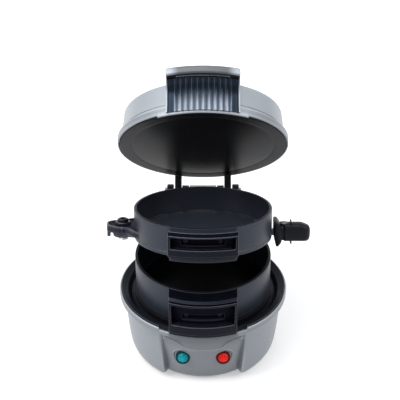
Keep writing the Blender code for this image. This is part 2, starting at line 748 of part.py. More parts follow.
def bezel_profile(face, up, seat, root, lip):
    """The black ring round a heating plate, over a ledge under the plate.

    With a lip it is a bowl, whose moat lies beside the plate; without one it is flat up to the plate.
    """
    ledge = face - up * (HEATER_SKIRT_DEPTH + GAP * 2)
    level = face - up * BEZEL_LIP_RISE
    beside = HEATER_RADIUS + GAP * 2
    profile = [(BEZEL_LEDGE_RADIUS, ledge - up * BEZEL_LEDGE), (BEZEL_LEDGE_RADIUS, ledge), (beside, ledge)]
    if lip:
        band = root - BEZEL_WALL
        moat = ledge + up * GAP
        profile.append((MOAT_RADIUS, moat))
        for share in MOAT_SHARES:
            rise = 1 - math.sqrt(1 - share**2)
            profile.append((MOAT_RADIUS + (band - MOAT_RADIUS) * share, moat + (face - moat) * rise))
        inside = BEZEL_RADIUS - BEZEL_LIP
        profile += [(band, level), (inside - GAP, face - up * GAP), (inside, face + up * GAP)]
        profile.append((BEZEL_RADIUS, face + up * GAP))
    else:
        profile += [(beside, level), (BEZEL_RADIUS, level)]
    profile += [(BEZEL_RADIUS, seat), (root, seat), (root, seat - up * BEZEL_CORNER)]
    profile.append((MOAT_RADIUS, ledge - up * BEZEL_LEDGE))
    return profile


def element(name, height, body):
    """A tubular heating element: most of a round turn, its ends open at the back."""
    points, faces = [], []
    start = math.radians(90 + ELEMENT_OPEN_ANGLE / 2)
    sweep = math.radians(360 - ELEMENT_OPEN_ANGLE)
    for i in range(ELEMENT_STEPS + 1):
        turn = start + sweep * i / ELEMENT_STEPS
        for k in range(HEX):
            angle = 2 * math.pi * (k + 0.5) / HEX
            radius = ELEMENT_RADIUS + ELEMENT_TUBE * math.cos(angle)
            points.append(
                (radius * math.cos(turn), radius * math.sin(turn), height + ELEMENT_TUBE * math.sin(angle))
            )
    for i in range(ELEMENT_STEPS):
        for k in range(HEX):
            m = (k + 1) % HEX
            faces.append((i * HEX + k, i * HEX + m, (i + 1) * HEX + m, (i + 1) * HEX + k))
    last = ELEMENT_STEPS * HEX
    faces.append(tuple(range(HEX)))
    faces.append(tuple(range(last, last + HEX)))
    return solid(name, points, faces, body, STEEL)


def shield_profile(plate_side, up):
    """A thin dish that keeps the element's heat from the shell; its rim meets the bezel's ledge."""
    bottom = plate_side - up * SHIELD_RIM
    return [
        (0, bottom),
        (SHIELD_RADIUS, bottom),
        (SHIELD_RADIUS, plate_side),
        (SHIELD_RADIUS - SHIELD_SHEET, plate_side),
        (SHIELD_RADIUS - SHIELD_SHEET, bottom + up * SHIELD_SHEET),
        (0, bottom + up * SHIELD_SHEET),
    ]


def make_base(base):
    housing = rimmed_shell("base_housing", housing_rows(), panel_edges, base, SILVER)
    make_recess(base, housing)
    lamps(base, housing)
    seat = BASE_HEIGHT - SEAT_DROP + GAP
    section = bezel_profile(BASE_HEIGHT, 1, seat, FLANGE_ROOT - SHELL_WALL - GAP * 2, True)
    bezel = turned("base_bezel", section, base, BLACK)
    rim = BASE_HEIGHT - GAP * 2 - NOTCH_DROP
    front = -RIM_RADIUS - OVERRUN
    back = -math.sqrt(MOAT_RADIUS**2 - NOTCH_HALF**2)
    corners = [(-NOTCH_HALF, front), (NOTCH_HALF, front), (NOTCH_HALF, back), (-NOTCH_HALF, back)]
    combine(bezel, prism("bezel_notch", corners, rim + GAP, rim + OVERRUN, "z", base), "DIFFERENCE")
    turned("lower_heating_plate", heater_profile(BASE_HEIGHT - GAP, 1), base, COATING)
    under = BASE_HEIGHT - GAP - HEATER_THICKNESS
    element("lower_heating_element", under - GAP - ELEMENT_TUBE, base)
    shield_top = under - GAP * 2 - ELEMENT_TUBE * 2 + SHIELD_RIM - SHIELD_SHEET
    ceiling = BASE_HEIGHT - HEATER_SKIRT_DEPTH - GAP * 2
    turned("lower_heat_shield", shield_profile(min(shield_top, ceiling), 1), base, STEEL)
    shield_low = min(shield_top, ceiling) - SHIELD_RIM
    thermostat("lower_thermostat", under - GAP, -1, base)
    rod(
        "thermal_fuse",
        (-FUSE_LENGTH / 2, FUSE_Y, shield_low - GAP - FUSE_RADIUS),
        (FUSE_LENGTH / 2, FUSE_Y, shield_low - GAP - FUSE_RADIUS),
        FUSE_RADIUS,
        base,
        PALE,
        steps=TINY,
    )
    make_cover(base)
    make_gland(base, housing)
    make_tower(base)


def thermostat(name, face, up, body):
    profile = [
        (0, face),
        (THERMOSTAT_RADIUS, face),
        (THERMOSTAT_RADIUS, face + up * THERMOSTAT_HEIGHT / 2),
        (THERMOSTAT_RADIUS * THERMOSTAT_CAP_SHARE, face + up * THERMOSTAT_HEIGHT / 2),
        (THERMOSTAT_RADIUS * THERMOSTAT_CAP_SHARE, face + up * THERMOSTAT_HEIGHT),
        (0, face + up * THERMOSTAT_HEIGHT),
    ]
    return turned(name, profile, body, PALE, centre=(THERMOSTAT_X, 0.0), steps=SMALL)


def make_cover(base):
    """The bottom cover with its feet, screws and the terminal block that stands on it."""
    low = FOOT_HEIGHT
    top = low + COVER_THICKNESS
    radius = COVER_RADIUS - GAP * 2
    disc = [(0, low), (radius, low), (radius, top), (0, top)]
    cover = turned("base_bottom_cover", disc, base, BLACK)
    for k in range(4):
        turn = math.pi / 4 + math.pi / 2 * k
        direction = (math.cos(turn), math.sin(turn))
        x, y = FOOT_CIRCLE * direction[0], FOOT_CIRCLE * direction[1]
        pad = [(0, 0), (FOOT_RADIUS * FOOT_EDGE_SHARE, 0), (FOOT_RADIUS, FOOT_HEIGHT / 3)]
        pad += [(FOOT_RADIUS, low - GAP / 3), (0, low - GAP / 3)]
        turned("rubber_foot_%d" % (k + 1), pad, base, RUBBER, centre=(x, y), steps=SMALL)
    for k in range(2):
        side = 1 - 2 * k
        x = side * SCREW_CIRCLE
        inside = [(SCREW_RADIUS + SCREW_CLEARANCE, low - OVERRUN), (0, low - OVERRUN)]
        inside += [(0, top + OVERRUN), (SCREW_RADIUS + SCREW_CLEARANCE, top + OVERRUN)]
        cut = turned("cover_hole_%d" % (k + 1), inside, base, centre=(x, 0.0), steps=TINY)
        combine(cover, cut, "DIFFERENCE")
        place = (x, 0.0, low - GAP / 2)
        screw("cover_screw_%d" % (k + 1), place, (0, 0, -1), COVER_SCREW_LENGTH, base, head=FOOT_HEIGHT / 2)
    half = TERMINAL_WIDTH / 2
    outline = [
        (-half, TERMINAL_Y - TERMINAL_DEPTH / 2),
        (half, TERMINAL_Y - TERMINAL_DEPTH / 2),
        (half, TERMINAL_Y + TERMINAL_DEPTH / 2),
        (-half, TERMINAL_Y + TERMINAL_DEPTH / 2),
    ]
    prism("terminal_block", outline, top + GAP, top + GAP + TERMINAL_HEIGHT, "z", base, PALE)


def make_gland(base, housing):
    """The bush at the back of the base that a mains lead would pass."""
    flat = Vector((0.0, 1.0, 0.0))
    radius = interpolate(GLAND_Z - FOOT_HEIGHT, BODY_WALL)
    place = flat * radius + Vector((0, 0, GLAND_Z))
    hole = rod("gland_hole", place - flat * OVERRUN * 2, place + flat * OVERRUN, GLAND_NECK + GAP, base)
    combine(housing, hole, "DIFFERENCE")
    lift = interpolate(GLAND_Z + GLAND_RADIUS - FOOT_HEIGHT, BODY_WALL) - radius + GAP
    profile = [
        (GLAND_HOLE_RADIUS, -SHELL_WALL - GLAND_FLANGE),
        (GLAND_NECK, -SHELL_WALL - GLAND_FLANGE),
        (GLAND_NECK, lift),
        (GLAND_RADIUS, lift),
        (GLAND_RADIUS, lift + GLAND_FLANGE),
        (GLAND_NECK, GLAND_LENGTH - GLAND_FLANGE * 2),
        (GLAND_HOLE_RADIUS, GLAND_LENGTH - GLAND_FLANGE * 2),
    ]
    stepped_rod("cord_gland", place, flat, profile, base, BLACK)


def grown_housing(name, body):
    """The housing's outer form, larger by the gap, for the tower to be fitted round."""
    rim = BASE_HEIGHT + GAP
    flange = BASE_HEIGHT - GAP * 2 - FLANGE_HEIGHT
    swell = 1 / math.cos(math.pi / ROUND)
    profile = [(0, FOOT_HEIGHT)]
    profile += [((r + GAP) * swell, FOOT_HEIGHT + z) for r, z in BODY_WALL]
    profile += [((FLANGE_ROOT + GAP) * swell, flange - GAP * 3), ((RIM_RADIUS + GAP) * swell, flange - GAP)]
    profile += [((RIM_RADIUS + GAP) * swell, rim), (0, rim)]
    return turned(name, profile, body)


def make_tower(base):
    """The hinge tower: a web against the back of the housing and two cheeks that hold the pin."""
    axis = (PIN_Y, PIN_Z)
    back = TOWER_BACK_Y
    web_front = back - TOWER_WEB
    shelf = BASE_HEIGHT - GAP * 4
    outline = [
        (TOWER_FOOT_Y, TOWER_FOOT_Z),
        (back - TOWER_BEVEL, TOWER_FOOT_Z),
        (back, TOWER_FOOT_Z + TOWER_BEVEL * 2),
        (back, TOWER_WEB_TOP_Z),
        (web_front, TOWER_WEB_TOP_Z),
        (web_front, shelf),
        (TOWER_FOOT_Y, shelf),
    ]
    tower = prism("hinge_tower", outline, -HINGE_HALF, HINGE_HALF, "x", base, BLACK)
    combine(tower, grown_housing("tower_seat", base), "DIFFERENCE")
    cheek = hull_outline(
        circle(axis, CHEEK_RADIUS, steps=FINE)
        + [(CHEEK_FRONT_Y, shelf - TOWER_BEVEL), (back, shelf - TOWER_BEVEL), (back, TOWER_WEB_TOP_Z)]
    )
    for side, low, high in (("right", CHEEK_X, HINGE_HALF), ("left", -HINGE_HALF, -CHEEK_X)):
        combine(tower, prism("cheek_" + side, cheek, low, high, "x", base), "UNION")
    bore = PIN_RADIUS + PIN_CLEARANCE
    reach = HINGE_HALF + OVERRUN
    cut = rod("tower_bore", (-reach, PIN_Y, PIN_Z), (reach, PIN_Y, PIN_Z), bore, base)
    combine(tower, cut, "DIFFERENCE")
    end = HINGE_HALF + GAP
    head = PIN_HEAD_LENGTH
    pin = [
        (0, -end - head),
        (PIN_HEAD_RADIUS * HEAD_EDGE_SHARE, -end - head),
        (PIN_HEAD_RADIUS, -end - head / 2),
        (PIN_HEAD_RADIUS, -end),
        (PIN_RADIUS, -end),
        (PIN_RADIUS, end + head),
        (0, end + head),
    ]
    stepped_rod("hinge_pin", (0, PIN_Y, PIN_Z), (1, 0, 0), pin, base, STEEL)
    clip = [
        (PIN_RADIUS + PIN_CLEARANCE, end),
        (PIN_HEAD_RADIUS, end),
        (PIN_HEAD_RADIUS, end + head / 2),
        (PIN_RADIUS + PIN_CLEARANCE, end + head / 2),
    ]
    stepped_rod("hinge_pin_clip", (0, PIN_Y, PIN_Z), (1, 0, 0), clip, base, STEEL)
    height = (TOWER_FOOT_Z + BASE_HEIGHT) / 2
    length = back - RIM_RADIUS + GAP
    for k, side in enumerate((-1, 1)):
        x = side * BRACKET_SCREW_X
        hole = rod(
            "tower_hole_%d" % (k + 1),
            (x, back + OVERRUN, height),
            (x, back - length - GAP, height),
            SCREW_RADIUS + SCREW_CLEARANCE,
            base,
            steps=TINY,
        )
        combine(tower, hole, "DIFFERENCE")
        screw("tower_screw_%d" % (k + 1), (x, back + GAP / 2, height), (0, 1, 0), length, base)


def knuckle_arm(name, low, high, block, body):
    """An arm from a block at a ring's back wall to the round knuckle on the pin."""
    outline = hull_outline(circle((PIN_Y, PIN_Z), KNUCKLE_RADIUS, steps=FINE) + block)
    return prism(name, outline, low, high, "x", body)


def bore_leaf(piece, name, half, body):
    cut = rod(
        name,
        (-half - OVERRUN, PIN_Y, PIN_Z),
        (half + OVERRUN, PIN_Y, PIN_Z),
        PIN_RADIUS + PIN_CLEARANCE,
        body,
    )
    return combine(piece, cut, "DIFFERENCE")


def ring_profile(low, high):
    inner = RING_RADIUS - RING_WALL
    edge = RING_WALL / 5
    return [
        (inner, low),
        (RING_RADIUS - edge, low),
        (RING_RADIUS, low + edge),
        (RING_RADIUS, high - edge),
        (RING_RADIUS - edge, high),
        (inner + edge, high),
        (inner, high - edge),
    ]


def grip(name, section, slot_height, slot_drop, ring, body):
    """A boxed ring handle: an outer arc block, a recess cut in its face and a slot in the floor."""
    low, heel, sill, top, high, band, band_radius = section
    back = RING_RADIUS + GAP
    outer = [(back, heel), (MOAT_RADIUS, heel)] if heel > low else [(back, low)]
    outer += [(MOAT_RADIUS, low), (band_radius, low)]
    outer += [(band_radius, low + band), (GRIP_LIP_RADIUS, low + band)]
    outer += [(GRIP_LIP_RADIUS, sill - GRIP_STEP / 4), (GRIP_LIP_RADIUS - GRIP_STEP / 4, sill)]
    outer += [(GRIP_FACE_RADIUS, sill), (GRIP_FACE_RADIUS, high - GRIP_STEP)]
    outer += [(GRIP_FACE_RADIUS - GRIP_STEP, high - GRIP_STEP), (GRIP_TOP_RADIUS, high), (back, high)]
    piece = front_arc(name, outer, GRIP_HALF, body, BLACK)
    recess = [(GRIP_FLOOR_RADIUS, sill), (GRIP_LIP_RADIUS + OVERRUN, sill)]
    recess += [(GRIP_LIP_RADIUS + OVERRUN, top), (GRIP_FLOOR_RADIUS, top)]
    combine(piece, front_arc(name + "_recess", recess, GRIP_HALF - GRIP_FRAME, body), "DIFFERENCE")
    middle = (sill + top) / 2 - slot_drop
    inside = GRIP_FLOOR_RADIUS - SLOT_DEPTH
    slot = [(inside, middle - slot_height / 2), (GRIP_FLOOR_RADIUS + GAP, middle - slot_height / 2)]
    slot += [(GRIP_FLOOR_RADIUS + GAP, middle + slot_height / 2), (inside, middle + slot_height / 2)]
    combine(piece, front_arc(name + "_slot", slot, SLOT_HALF, body), "DIFFERENCE")
    tip = RING_RADIUS - RING_SCREW_SINK
    for k, side in enumerate((-1, 1)):
        out = Vector((side * GRIP_SCREW_X, -math.sqrt(inside**2 - GRIP_SCREW_X**2), 0.0)).normalized()
        for holder, start in ((piece, RING_RADIUS), (ring, tip - GAP)):
            label = "%s_hole_%d" % (holder.name, k + 1)
            ends = [out * reach + Vector((0, 0, middle)) for reach in (start, inside + OVERRUN / 2)]
            hole = rod(label, *ends, GRIP_SCREW_RADIUS + SCREW_CLEARANCE, body, steps=TINY)
            combine(holder, hole, "DIFFERENCE")
        place = out * (inside + GAP) + Vector((0, 0, middle))
        label = "%s_screw_%d" % (name, k + 1)
        screw(label, place, out, inside + GAP - tip, body, head=GRIP_SCREW_HEAD, radius=GRIP_SCREW_RADIUS)
    return piece


def make_bottom_ring(leaf):
    low, high = BOTTOM_RING_Z, BOTTOM_RING_Z + BOTTOM_RING_HEIGHT
    ring = turned("bottom_ring", ring_profile(low, high), leaf, COATING)
    wall = RING_RADIUS - ARM_SINK
    head = high - BOTTOM_ARM_MARGIN
    foot = head - BOTTOM_ARM_HEIGHT
    block = [(wall, foot), (wall + ARM_DEPTH, foot), (wall, head)]
    for side in (1, -1):
        near = side * BOTTOM_KNUCKLE_X
        far = side * (BOTTOM_KNUCKLE_X + BOTTOM_KNUCKLE_WIDTH)
        name = "bottom_arm_right" if side > 0 else "bottom_arm_left"
        inner = math.sqrt(RING_RADIUS**2 - far**2) - RING_RADIUS
        shifted = [(y + inner, z) for y, z in block]
        combine(ring, knuckle_arm(name, min(near, far), max(near, far), shifted, leaf), "UNION")
    bore_leaf(ring, "bottom_ring_bore", LID_KNUCKLE_X, leaf)
    section = (
        low - BOTTOM_GRIP_DROP,
        low + GAP,
        low + BOTTOM_GRIP_SILL,
        high - GRIP_STEP - GRIP_BAR,
        high,
        BOTTOM_GRIP_BAND,
        GRIP_FACE_RADIUS - BOTTOM_BAND_INSET,
    )
    grip("bottom_ring_handle", section, BOTTOM_SLOT_HEIGHT, BOTTOM_SLOT_DROP, ring, leaf)


def make_top_ring(leaf):
    low, high = TOP_RING_Z, TOP_RING_Z + TOP_RING_HEIGHT
    ring = turned("top_ring", ring_profile(low, high), leaf, COATING)
    wall = math.sqrt(RING_RADIUS**2 - TOP_KNUCKLE_HALF**2) - ARM_SINK
    block = [(wall, low + ARM_MARGIN), (wall, high - ARM_MARGIN)]
    arm = knuckle_arm("top_arm", -TOP_KNUCKLE_HALF, TOP_KNUCKLE_HALF, block, leaf)
    combine(ring, arm, "UNION")
    inner = RING_RADIUS - RING_WALL
    under = low + TOP_EAR_LIFT
    top = under + TOP_EAR_THICKNESS
    tip = EAR_TIP_X
    outline = [
        (EAR_ROOT_X, EAR_FRONT_Y),
        (EAR_ROOT_X, EAR_BACK_Y),
        (PIVOT_X, PIVOT_Y + EAR_RADIUS),
        (tip + EAR_TIP_CORNER, PIVOT_Y + EAR_TIP_HALF),
        (tip, PIVOT_Y + EAR_TIP_HALF - EAR_TIP_CORNER),
        (tip, PIVOT_Y - EAR_TIP_FRONT),
        (tip + EAR_TIP_CORNER, PIVOT_Y - EAR_TIP_SLOPE),
    ]
    ear = prism("top_ear", outline, under, top, "z", leaf)
    cavity = [(0, low - OVERRUN), (inner + ARM_SINK, low - OVERRUN)]
    cavity += [(inner + ARM_SINK, high + OVERRUN), (0, high + OVERRUN)]
    combine(ear, turned("ear_trim", cavity, leaf), "DIFFERENCE")
    combine(ring, ear, "UNION")
    stop_y = PIVOT_Y - EAR_TIP_FRONT
    stop = [
        (tip + GAP, stop_y),
        (tip + STOP_WIDTH, stop_y),
        (tip + STOP_WIDTH, stop_y + STOP_LENGTH),
        (tip + GAP, stop_y + STOP_LENGTH),
    ]
    combine(ring, prism("ear_stop", stop, low - STOP_DROP, under + GAP, "z", leaf), "UNION")
    bore = PIVOT_RADIUS + SCREW_CLEARANCE
    hole = rod("ear_hole", (PIVOT_X, PIVOT_Y, under - OVERRUN), (PIVOT_X, PIVOT_Y, top + OVERRUN), bore, leaf)
    combine(ring, hole, "DIFFERENCE")
    bore_leaf(ring, "top_ring_bore", TOP_KNUCKLE_HALF, leaf)
    section = (
        low,
        low,
        low + TOP_GRIP_SILL,
        high - GRIP_STEP - GRIP_BAR / 2,
        high - GAP,
        TOP_GRIP_BAND,
        GRIP_FACE_RADIUS - TOP_BAND_INSET,
    )
    grip("top_ring_handle", section, TOP_SLOT_HEIGHT, 0.0, ring, leaf)
    make_pivot(leaf, top)


def make_pivot(leaf, ear_top):
    """The shoulder screw that the plate swings on, its washer and its nut."""
    washer_low = ear_top + GAP
    washer_top = washer_low + WASHER_THICKNESS
    bore = PIVOT_RADIUS + SCREW_CLEARANCE
    ring = [(bore, washer_low), (WASHER_RADIUS, washer_low), (WASHER_RADIUS, washer_top), (bore, washer_top)]
    turned("pivot_washer", ring, leaf, STEEL, centre=(PIVOT_X, PIVOT_Y), steps=SMALL)
    ear_low = PLATE_Z - EAR_DROP
    nut_top = ear_low - GAP
    end = nut_top - NUT_HEIGHT
    head = washer_top + GAP
    socket = PIVOT_HEAD_RADIUS / 2
    profile = [
        (0, end),
        (PIVOT_RADIUS, end),
        (PIVOT_RADIUS, head),
        (PIVOT_HEAD_RADIUS, head),
        (PIVOT_HEAD_RADIUS, head + PIVOT_HEAD * PIVOT_HEAD_SIDE_SHARE),
        (PIVOT_HEAD_RADIUS * HEAD_EDGE_SHARE, head + PIVOT_HEAD),
        (socket, head + PIVOT_HEAD),
        (socket, head + PIVOT_HEAD / 2),
        (0, head + PIVOT_HEAD / 2),
    ]
    turned("pivot_screw", profile, leaf, BLACK, centre=(PIVOT_X, PIVOT_Y), steps=SMALL)
    thread = bore / math.cos(math.pi / HEX)
    nut = [(thread, end), (NUT_RADIUS, end), (NUT_RADIUS, nut_top), (thread, nut_top)]
    turned("pivot_nut", nut, leaf, STEEL, centre=(PIVOT_X, PIVOT_Y), steps=HEX)


def make_cooking_plate(leaf):
    low, high = PLATE_Z, PLATE_Z + PLATE_THICKNESS
    disc = [(0, low), (RING_RADIUS, low), (RING_RADIUS, high), (0, high)]
    plate = turned("cooking_plate", disc, leaf, COATING)
    root = RING_RADIUS - RING_WALL
    neck = [(-root, PIVOT_Y - EAR_NECK_HALF), (-root, PIVOT_Y + EAR_NECK_HALF)]
    ear = hull_outline(circle((PIVOT_X, PIVOT_Y), EAR_RADIUS, steps=FINE) + neck)
    combine(plate, prism("plate_ear", ear, low, high, "z", leaf), "UNION")
    boss = circle((PIVOT_X, PIVOT_Y), EAR_RADIUS - GAP, steps=FINE)
    combine(plate, prism("plate_boss", boss, low - EAR_DROP, low + EAR_DROP, "z", leaf), "UNION")
    tongue = [(root, low), (TONGUE_RADIUS, low), (TONGUE_RADIUS, high - GAP)]
    tongue += [(TONGUE_RADIUS - GAP, high), (root, high)]
    combine(plate, front_arc("plate_tongue", tongue, TONGUE_HALF, leaf), "UNION")
    tang = [
        (root, PIVOT_Y - TANG_HALF),
        (TANG_END_X, PIVOT_Y - TANG_HALF),
        (TANG_END_X, PIVOT_Y + TANG_HALF),
        (root, PIVOT_Y + TANG_HALF),
    ]
    combine(plate, prism("plate_tang", tang, low, high, "z", leaf), "UNION")
    below = (PIVOT_X, PIVOT_Y, low - OVERRUN)
    above = (PIVOT_X, PIVOT_Y, high + OVERRUN)
    combine(plate, rod("plate_hole", below, above, PIVOT_RADIUS + SCREW_CLEARANCE, leaf), "DIFFERENCE")
    screw_hole = rod(
        "tang_hole",
        (HANDLE_SCREW_X, PIVOT_Y, low - OVERRUN),
        (HANDLE_SCREW_X, PIVOT_Y, high + OVERRUN),
        SCREW_RADIUS + SCREW_CLEARANCE,
        leaf,
        steps=TINY,
    )
    combine(plate, screw_hole, "DIFFERENCE")
    make_plate_handle(leaf)


def make_plate_handle(leaf):
    """The collar beside the ring and the moulded grip, both held on the plate's tang."""
    middle = PLATE_Z + PLATE_THICKNESS / 2
    slit = [
        (COLLAR_X - OVERRUN, PIVOT_Y - TANG_HALF - GAP),
        (TANG_END_X + GAP, PIVOT_Y - TANG_HALF - GAP),
        (TANG_END_X + GAP, PIVOT_Y + TANG_HALF + GAP),
        (COLLAR_X - OVERRUN, PIVOT_Y + TANG_HALF + GAP),
    ]
    sleeve = (PLATE_Z - GAP, PLATE_Z + PLATE_THICKNESS + GAP)
    face = [
        (PIVOT_Y - COLLAR_FOOT_HALF, middle - COLLAR_FALL),
        (PIVOT_Y + COLLAR_FOOT_HALF, middle - COLLAR_FALL),
        (PIVOT_Y + COLLAR_HALF, middle - COLLAR_FALL + COLLAR_SHOULDER),
        (PIVOT_Y + COLLAR_HALF, middle + COLLAR_RISE - COLLAR_SHOULDER / 2),
        (PIVOT_Y + COLLAR_HALF - COLLAR_SHOULDER / 2, middle + COLLAR_RISE),
        (PIVOT_Y - COLLAR_HALF + COLLAR_SHOULDER / 2, middle + COLLAR_RISE),
        (PIVOT_Y - COLLAR_HALF, middle + COLLAR_RISE - COLLAR_SHOULDER / 2),
        (PIVOT_Y - COLLAR_HALF, middle - COLLAR_FALL + COLLAR_SHOULDER),
    ]
    collar = prism("plate_handle_collar", face, COLLAR_X, COLLAR_X + COLLAR_THICKNESS, "x", leaf, BLACK)
    combine(collar, prism("collar_slit", slit, *sleeve, "z", leaf), "DIFFERENCE")
    inset = HANDLE_HALF - HANDLE_NECK_HALF
    plan = [(HANDLE_START_X, PIVOT_Y - HANDLE_NECK_HALF), (HANDLE_NECK_X, PIVOT_Y - HANDLE_NECK_HALF)]
    plan.append((HANDLE_NECK_X + inset, PIVOT_Y - HANDLE_HALF))
    corner = HANDLE_END_X - HANDLE_ROUND
    for k in range(HANDLE_TURN_STEPS + 1):
        turn = -math.pi / 2 + math.pi * k / HANDLE_TURN_STEPS
        side = (HANDLE_HALF - HANDLE_ROUND) * (2 * k / HANDLE_TURN_STEPS - 1)
        plan.append(
            (corner + HANDLE_ROUND * math.cos(turn), PIVOT_Y + side + HANDLE_ROUND * math.sin(turn))
        )
    plan += [(HANDLE_NECK_X + inset, PIVOT_Y + HANDLE_HALF), (HANDLE_NECK_X, PIVOT_Y + HANDLE_NECK_HALF)]
    plan.append((HANDLE_START_X, PIVOT_Y + HANDLE_NECK_HALF))
    top, bottom = middle + HANDLE_RISE, middle - HANDLE_FALL
    handle = pillow("plate_handle_grip", plan, bottom, top, HANDLE_BEVEL, leaf, BLACK)
    rib = [
        (RIB_X, PIVOT_Y - HANDLE_HALF - GAP * 2),
        (RIB_X + RIB_WIDTH, PIVOT_Y - HANDLE_HALF - GAP * 2),
        (RIB_X + RIB_WIDTH, PIVOT_Y + HANDLE_HALF + GAP * 2),
        (RIB_X, PIVOT_Y + HANDLE_HALF + GAP * 2),
    ]
    combine(handle, prism("grip_rib", rib, bottom - RIB_PROUD, top + RIB_PROUD, "z", leaf), "UNION")
    combine(handle, prism("grip_slit", slit, *sleeve, "z", leaf), "DIFFERENCE")
    seat = top - HANDLE_SCREW_HEAD
    pocket = rod(
        "grip_pocket",
        (HANDLE_SCREW_X, PIVOT_Y, seat),
        (HANDLE_SCREW_X, PIVOT_Y, top + OVERRUN),
        SCREW_HEAD_RADIUS + SCREW_CLEARANCE,
        leaf,
        steps=TINY,
    )
    combine(handle, pocket, "DIFFERENCE")
    length = seat - PLATE_Z + PLATE_THICKNESS
    bore = rod(
        "grip_bore",
        (HANDLE_SCREW_X, PIVOT_Y, seat - length - GAP),
        (HANDLE_SCREW_X, PIVOT_Y, top),
        SCREW_RADIUS + SCREW_CLEARANCE,
        leaf,
        steps=TINY,
    )
    combine(handle, bore, "DIFFERENCE")
    screw("plate_handle_screw", (HANDLE_SCREW_X, PIVOT_Y, seat + GAP), (0, 0, 1), length, leaf)


def lid_outer():
    """The lid's outer wall from the rim to the middle of its top: radius and height pairs."""
    bevel = FLANGE_LIP / 2
    flange = LID_Z + GAP + LID_FLANGE
    shoulder = LID_TOP_Z - LID_CROWN
    wall = [
        (RIM_RADIUS, LID_Z + GAP + bevel),
        (RIM_RADIUS, flange - bevel),
        (RIM_RADIUS - bevel, flange),
        (LID_SKIRT_RADIUS, flange + GAP),
    ]
    for k in range(CORNER_STEPS + 1):
        turn = math.pi / 2 * k / CORNER_STEPS
        radius = LID_TOP_RADIUS - LID_CORNER * (1 - math.cos(turn))
        wall.append((radius, shoulder - LID_CORNER * (1 - math.sin(turn))))
    for share in CROWN_SHARES:
        wall.append((LID_TOP_RADIUS * share, shoulder + LID_CROWN * (1 - share**2)))
    return wall


def apron_edges(height):
    """Where the lid's round rim ends and its lower front apron starts, the same at each height."""
    return APRON_HALF, APRON_HALF - CREASE


def lid_rows(outer):
    """The lid shell's wall section on the round and at its front apron: outside, then inside."""
    bevel = FLANGE_LIP / 2
    rim = LID_Z + GAP
    inside = RIM_RADIUS - FLANGE_LIP
    rows = [((inside, rim), (inside, rim - APRON_DROP))]
    rows.append(((RIM_RADIUS - bevel, rim), (RIM_RADIUS - bevel, rim - APRON_DROP)))
    rows.append((outer[0], (outer[0][0], outer[0][1] - APRON_DROP)))
    rows += [(point, point) for point in outer[1:]]
    shoulder = LID_TOP_Z - LID_CROWN
    seat = rim + LID_SEAT
    root = LID_SKIRT_RADIUS - SHELL_WALL
    inner = [(radius, height - SHELL_WALL) for radius, height in reversed(outer[-len(CROWN_SHARES) - 1 :])]
    inner += [(LID_TOP_RADIUS - SHELL_WALL, shoulder - LID_CORNER), (root, rim + LID_FLANGE)]
    inner += [(root, seat), (inside, seat)]
    rows += [(point, point) for point in inner]
    return rows


def make_lid(leaf):
    outer = lid_outer()
    crown = (len(outer) + 1, (LID_TOP_Z, LID_TOP_Z - SHELL_WALL))
    shell = rimmed_shell("lid_shell", lid_rows(outer), apron_edges, leaf, SILVER, crown)
    face = LID_Z
    root = LID_SKIRT_RADIUS - SHELL_WALL - GAP * 2
    turned("lid_bezel", bezel_profile(face, -1, face + LID_SEAT, root, False), leaf, BLACK)
    turned("upper_heating_plate", heater_profile(face, -1), leaf, COATING)
    under = face + HEATER_THICKNESS
    element("upper_heating_element", under + GAP + ELEMENT_TUBE, leaf)
    reach = under + GAP * 2 + ELEMENT_TUBE * 2 - SHIELD_RIM + SHIELD_SHEET
    floor = face + HEATER_SKIRT_DEPTH + GAP * 2
    turned("upper_heat_shield", shield_profile(max(reach, floor), -1), leaf, STEEL)
    thermostat("upper_thermostat", under + GAP, 1, leaf)
    make_lid_handle(leaf)
    make_bracket(leaf, shell)


def cove_face(low, high):
    """The handle's front below its lip: upright at the foot, then a quarter round out to the lip."""
    start = low + (high - low) * COVE_START_SHARE
    face = [(LID_GRIP_FOOT_RADIUS, low), (LID_GRIP_FOOT_RADIUS + GAP, start)]
    reach = LID_GRIP_LIP_RADIUS - LID_GRIP_BEVEL - LID_GRIP_FOOT_RADIUS - GAP
    for k in range(1, COVE_ROWS + 1):
        turn = math.pi / 2 * k / COVE_ROWS
        radius = LID_GRIP_FOOT_RADIUS + GAP + reach * (1 - math.cos(turn))
        face.append((radius, start + (high - start) * math.sin(turn)))
    return face


def make_lid_handle(leaf):
    """A silver cap over the lid's front edge and a dark ribbed insert under its lip."""
    low = LID_Z + LID_GRIP_FOOT_LIFT
    lip = LID_TOP_Z + LID_GRIP_RISE - LID_GRIP_LIP
    top = LID_TOP_Z + LID_GRIP_RISE + GAP
    face = cove_face(low, lip)
    inside = RIM_RADIUS + CAP_CLEARANCE
    hug = [(r + CAP_CLEARANCE, z + CAP_CLEARANCE) for r, z in lid_outer()[2 : 4 + CORNER_STEPS]]
    hug[0] = (inside, hug[0][1])
    outer = [(inside, low)] + face
    outer += [(LID_GRIP_LIP_RADIUS, lip + LID_GRIP_BEVEL / 2), (LID_GRIP_LIP_RADIUS, top - LID_GRIP_BEVEL)]
    outer += [(LID_GRIP_LIP_RADIUS - LID_GRIP_BEVEL, top), (hug[-1][0], LID_TOP_Z + GAP * 2)]
    outer += list(reversed(hug))
    cap = front_arc("lid_handle_cap", outer, LID_GRIP_HALF, leaf, SILVER)
    back = inside + CAP_CLEARANCE
    reach = LID_GRIP_LIP_RADIUS + OVERRUN
    pocket = [(back, low - OVERRUN), (reach, low - OVERRUN), (reach, lip - GAP), (back, lip - GAP)]
    side = LID_GRIP_HALF - LID_GRIP_SIDE
    combine(cap, front_arc("cap_pocket", pocket, side, leaf), "DIFFERENCE")
    ribbed_insert(leaf, face, low, lip - GAP * 2, back + GAP, side - GAP)


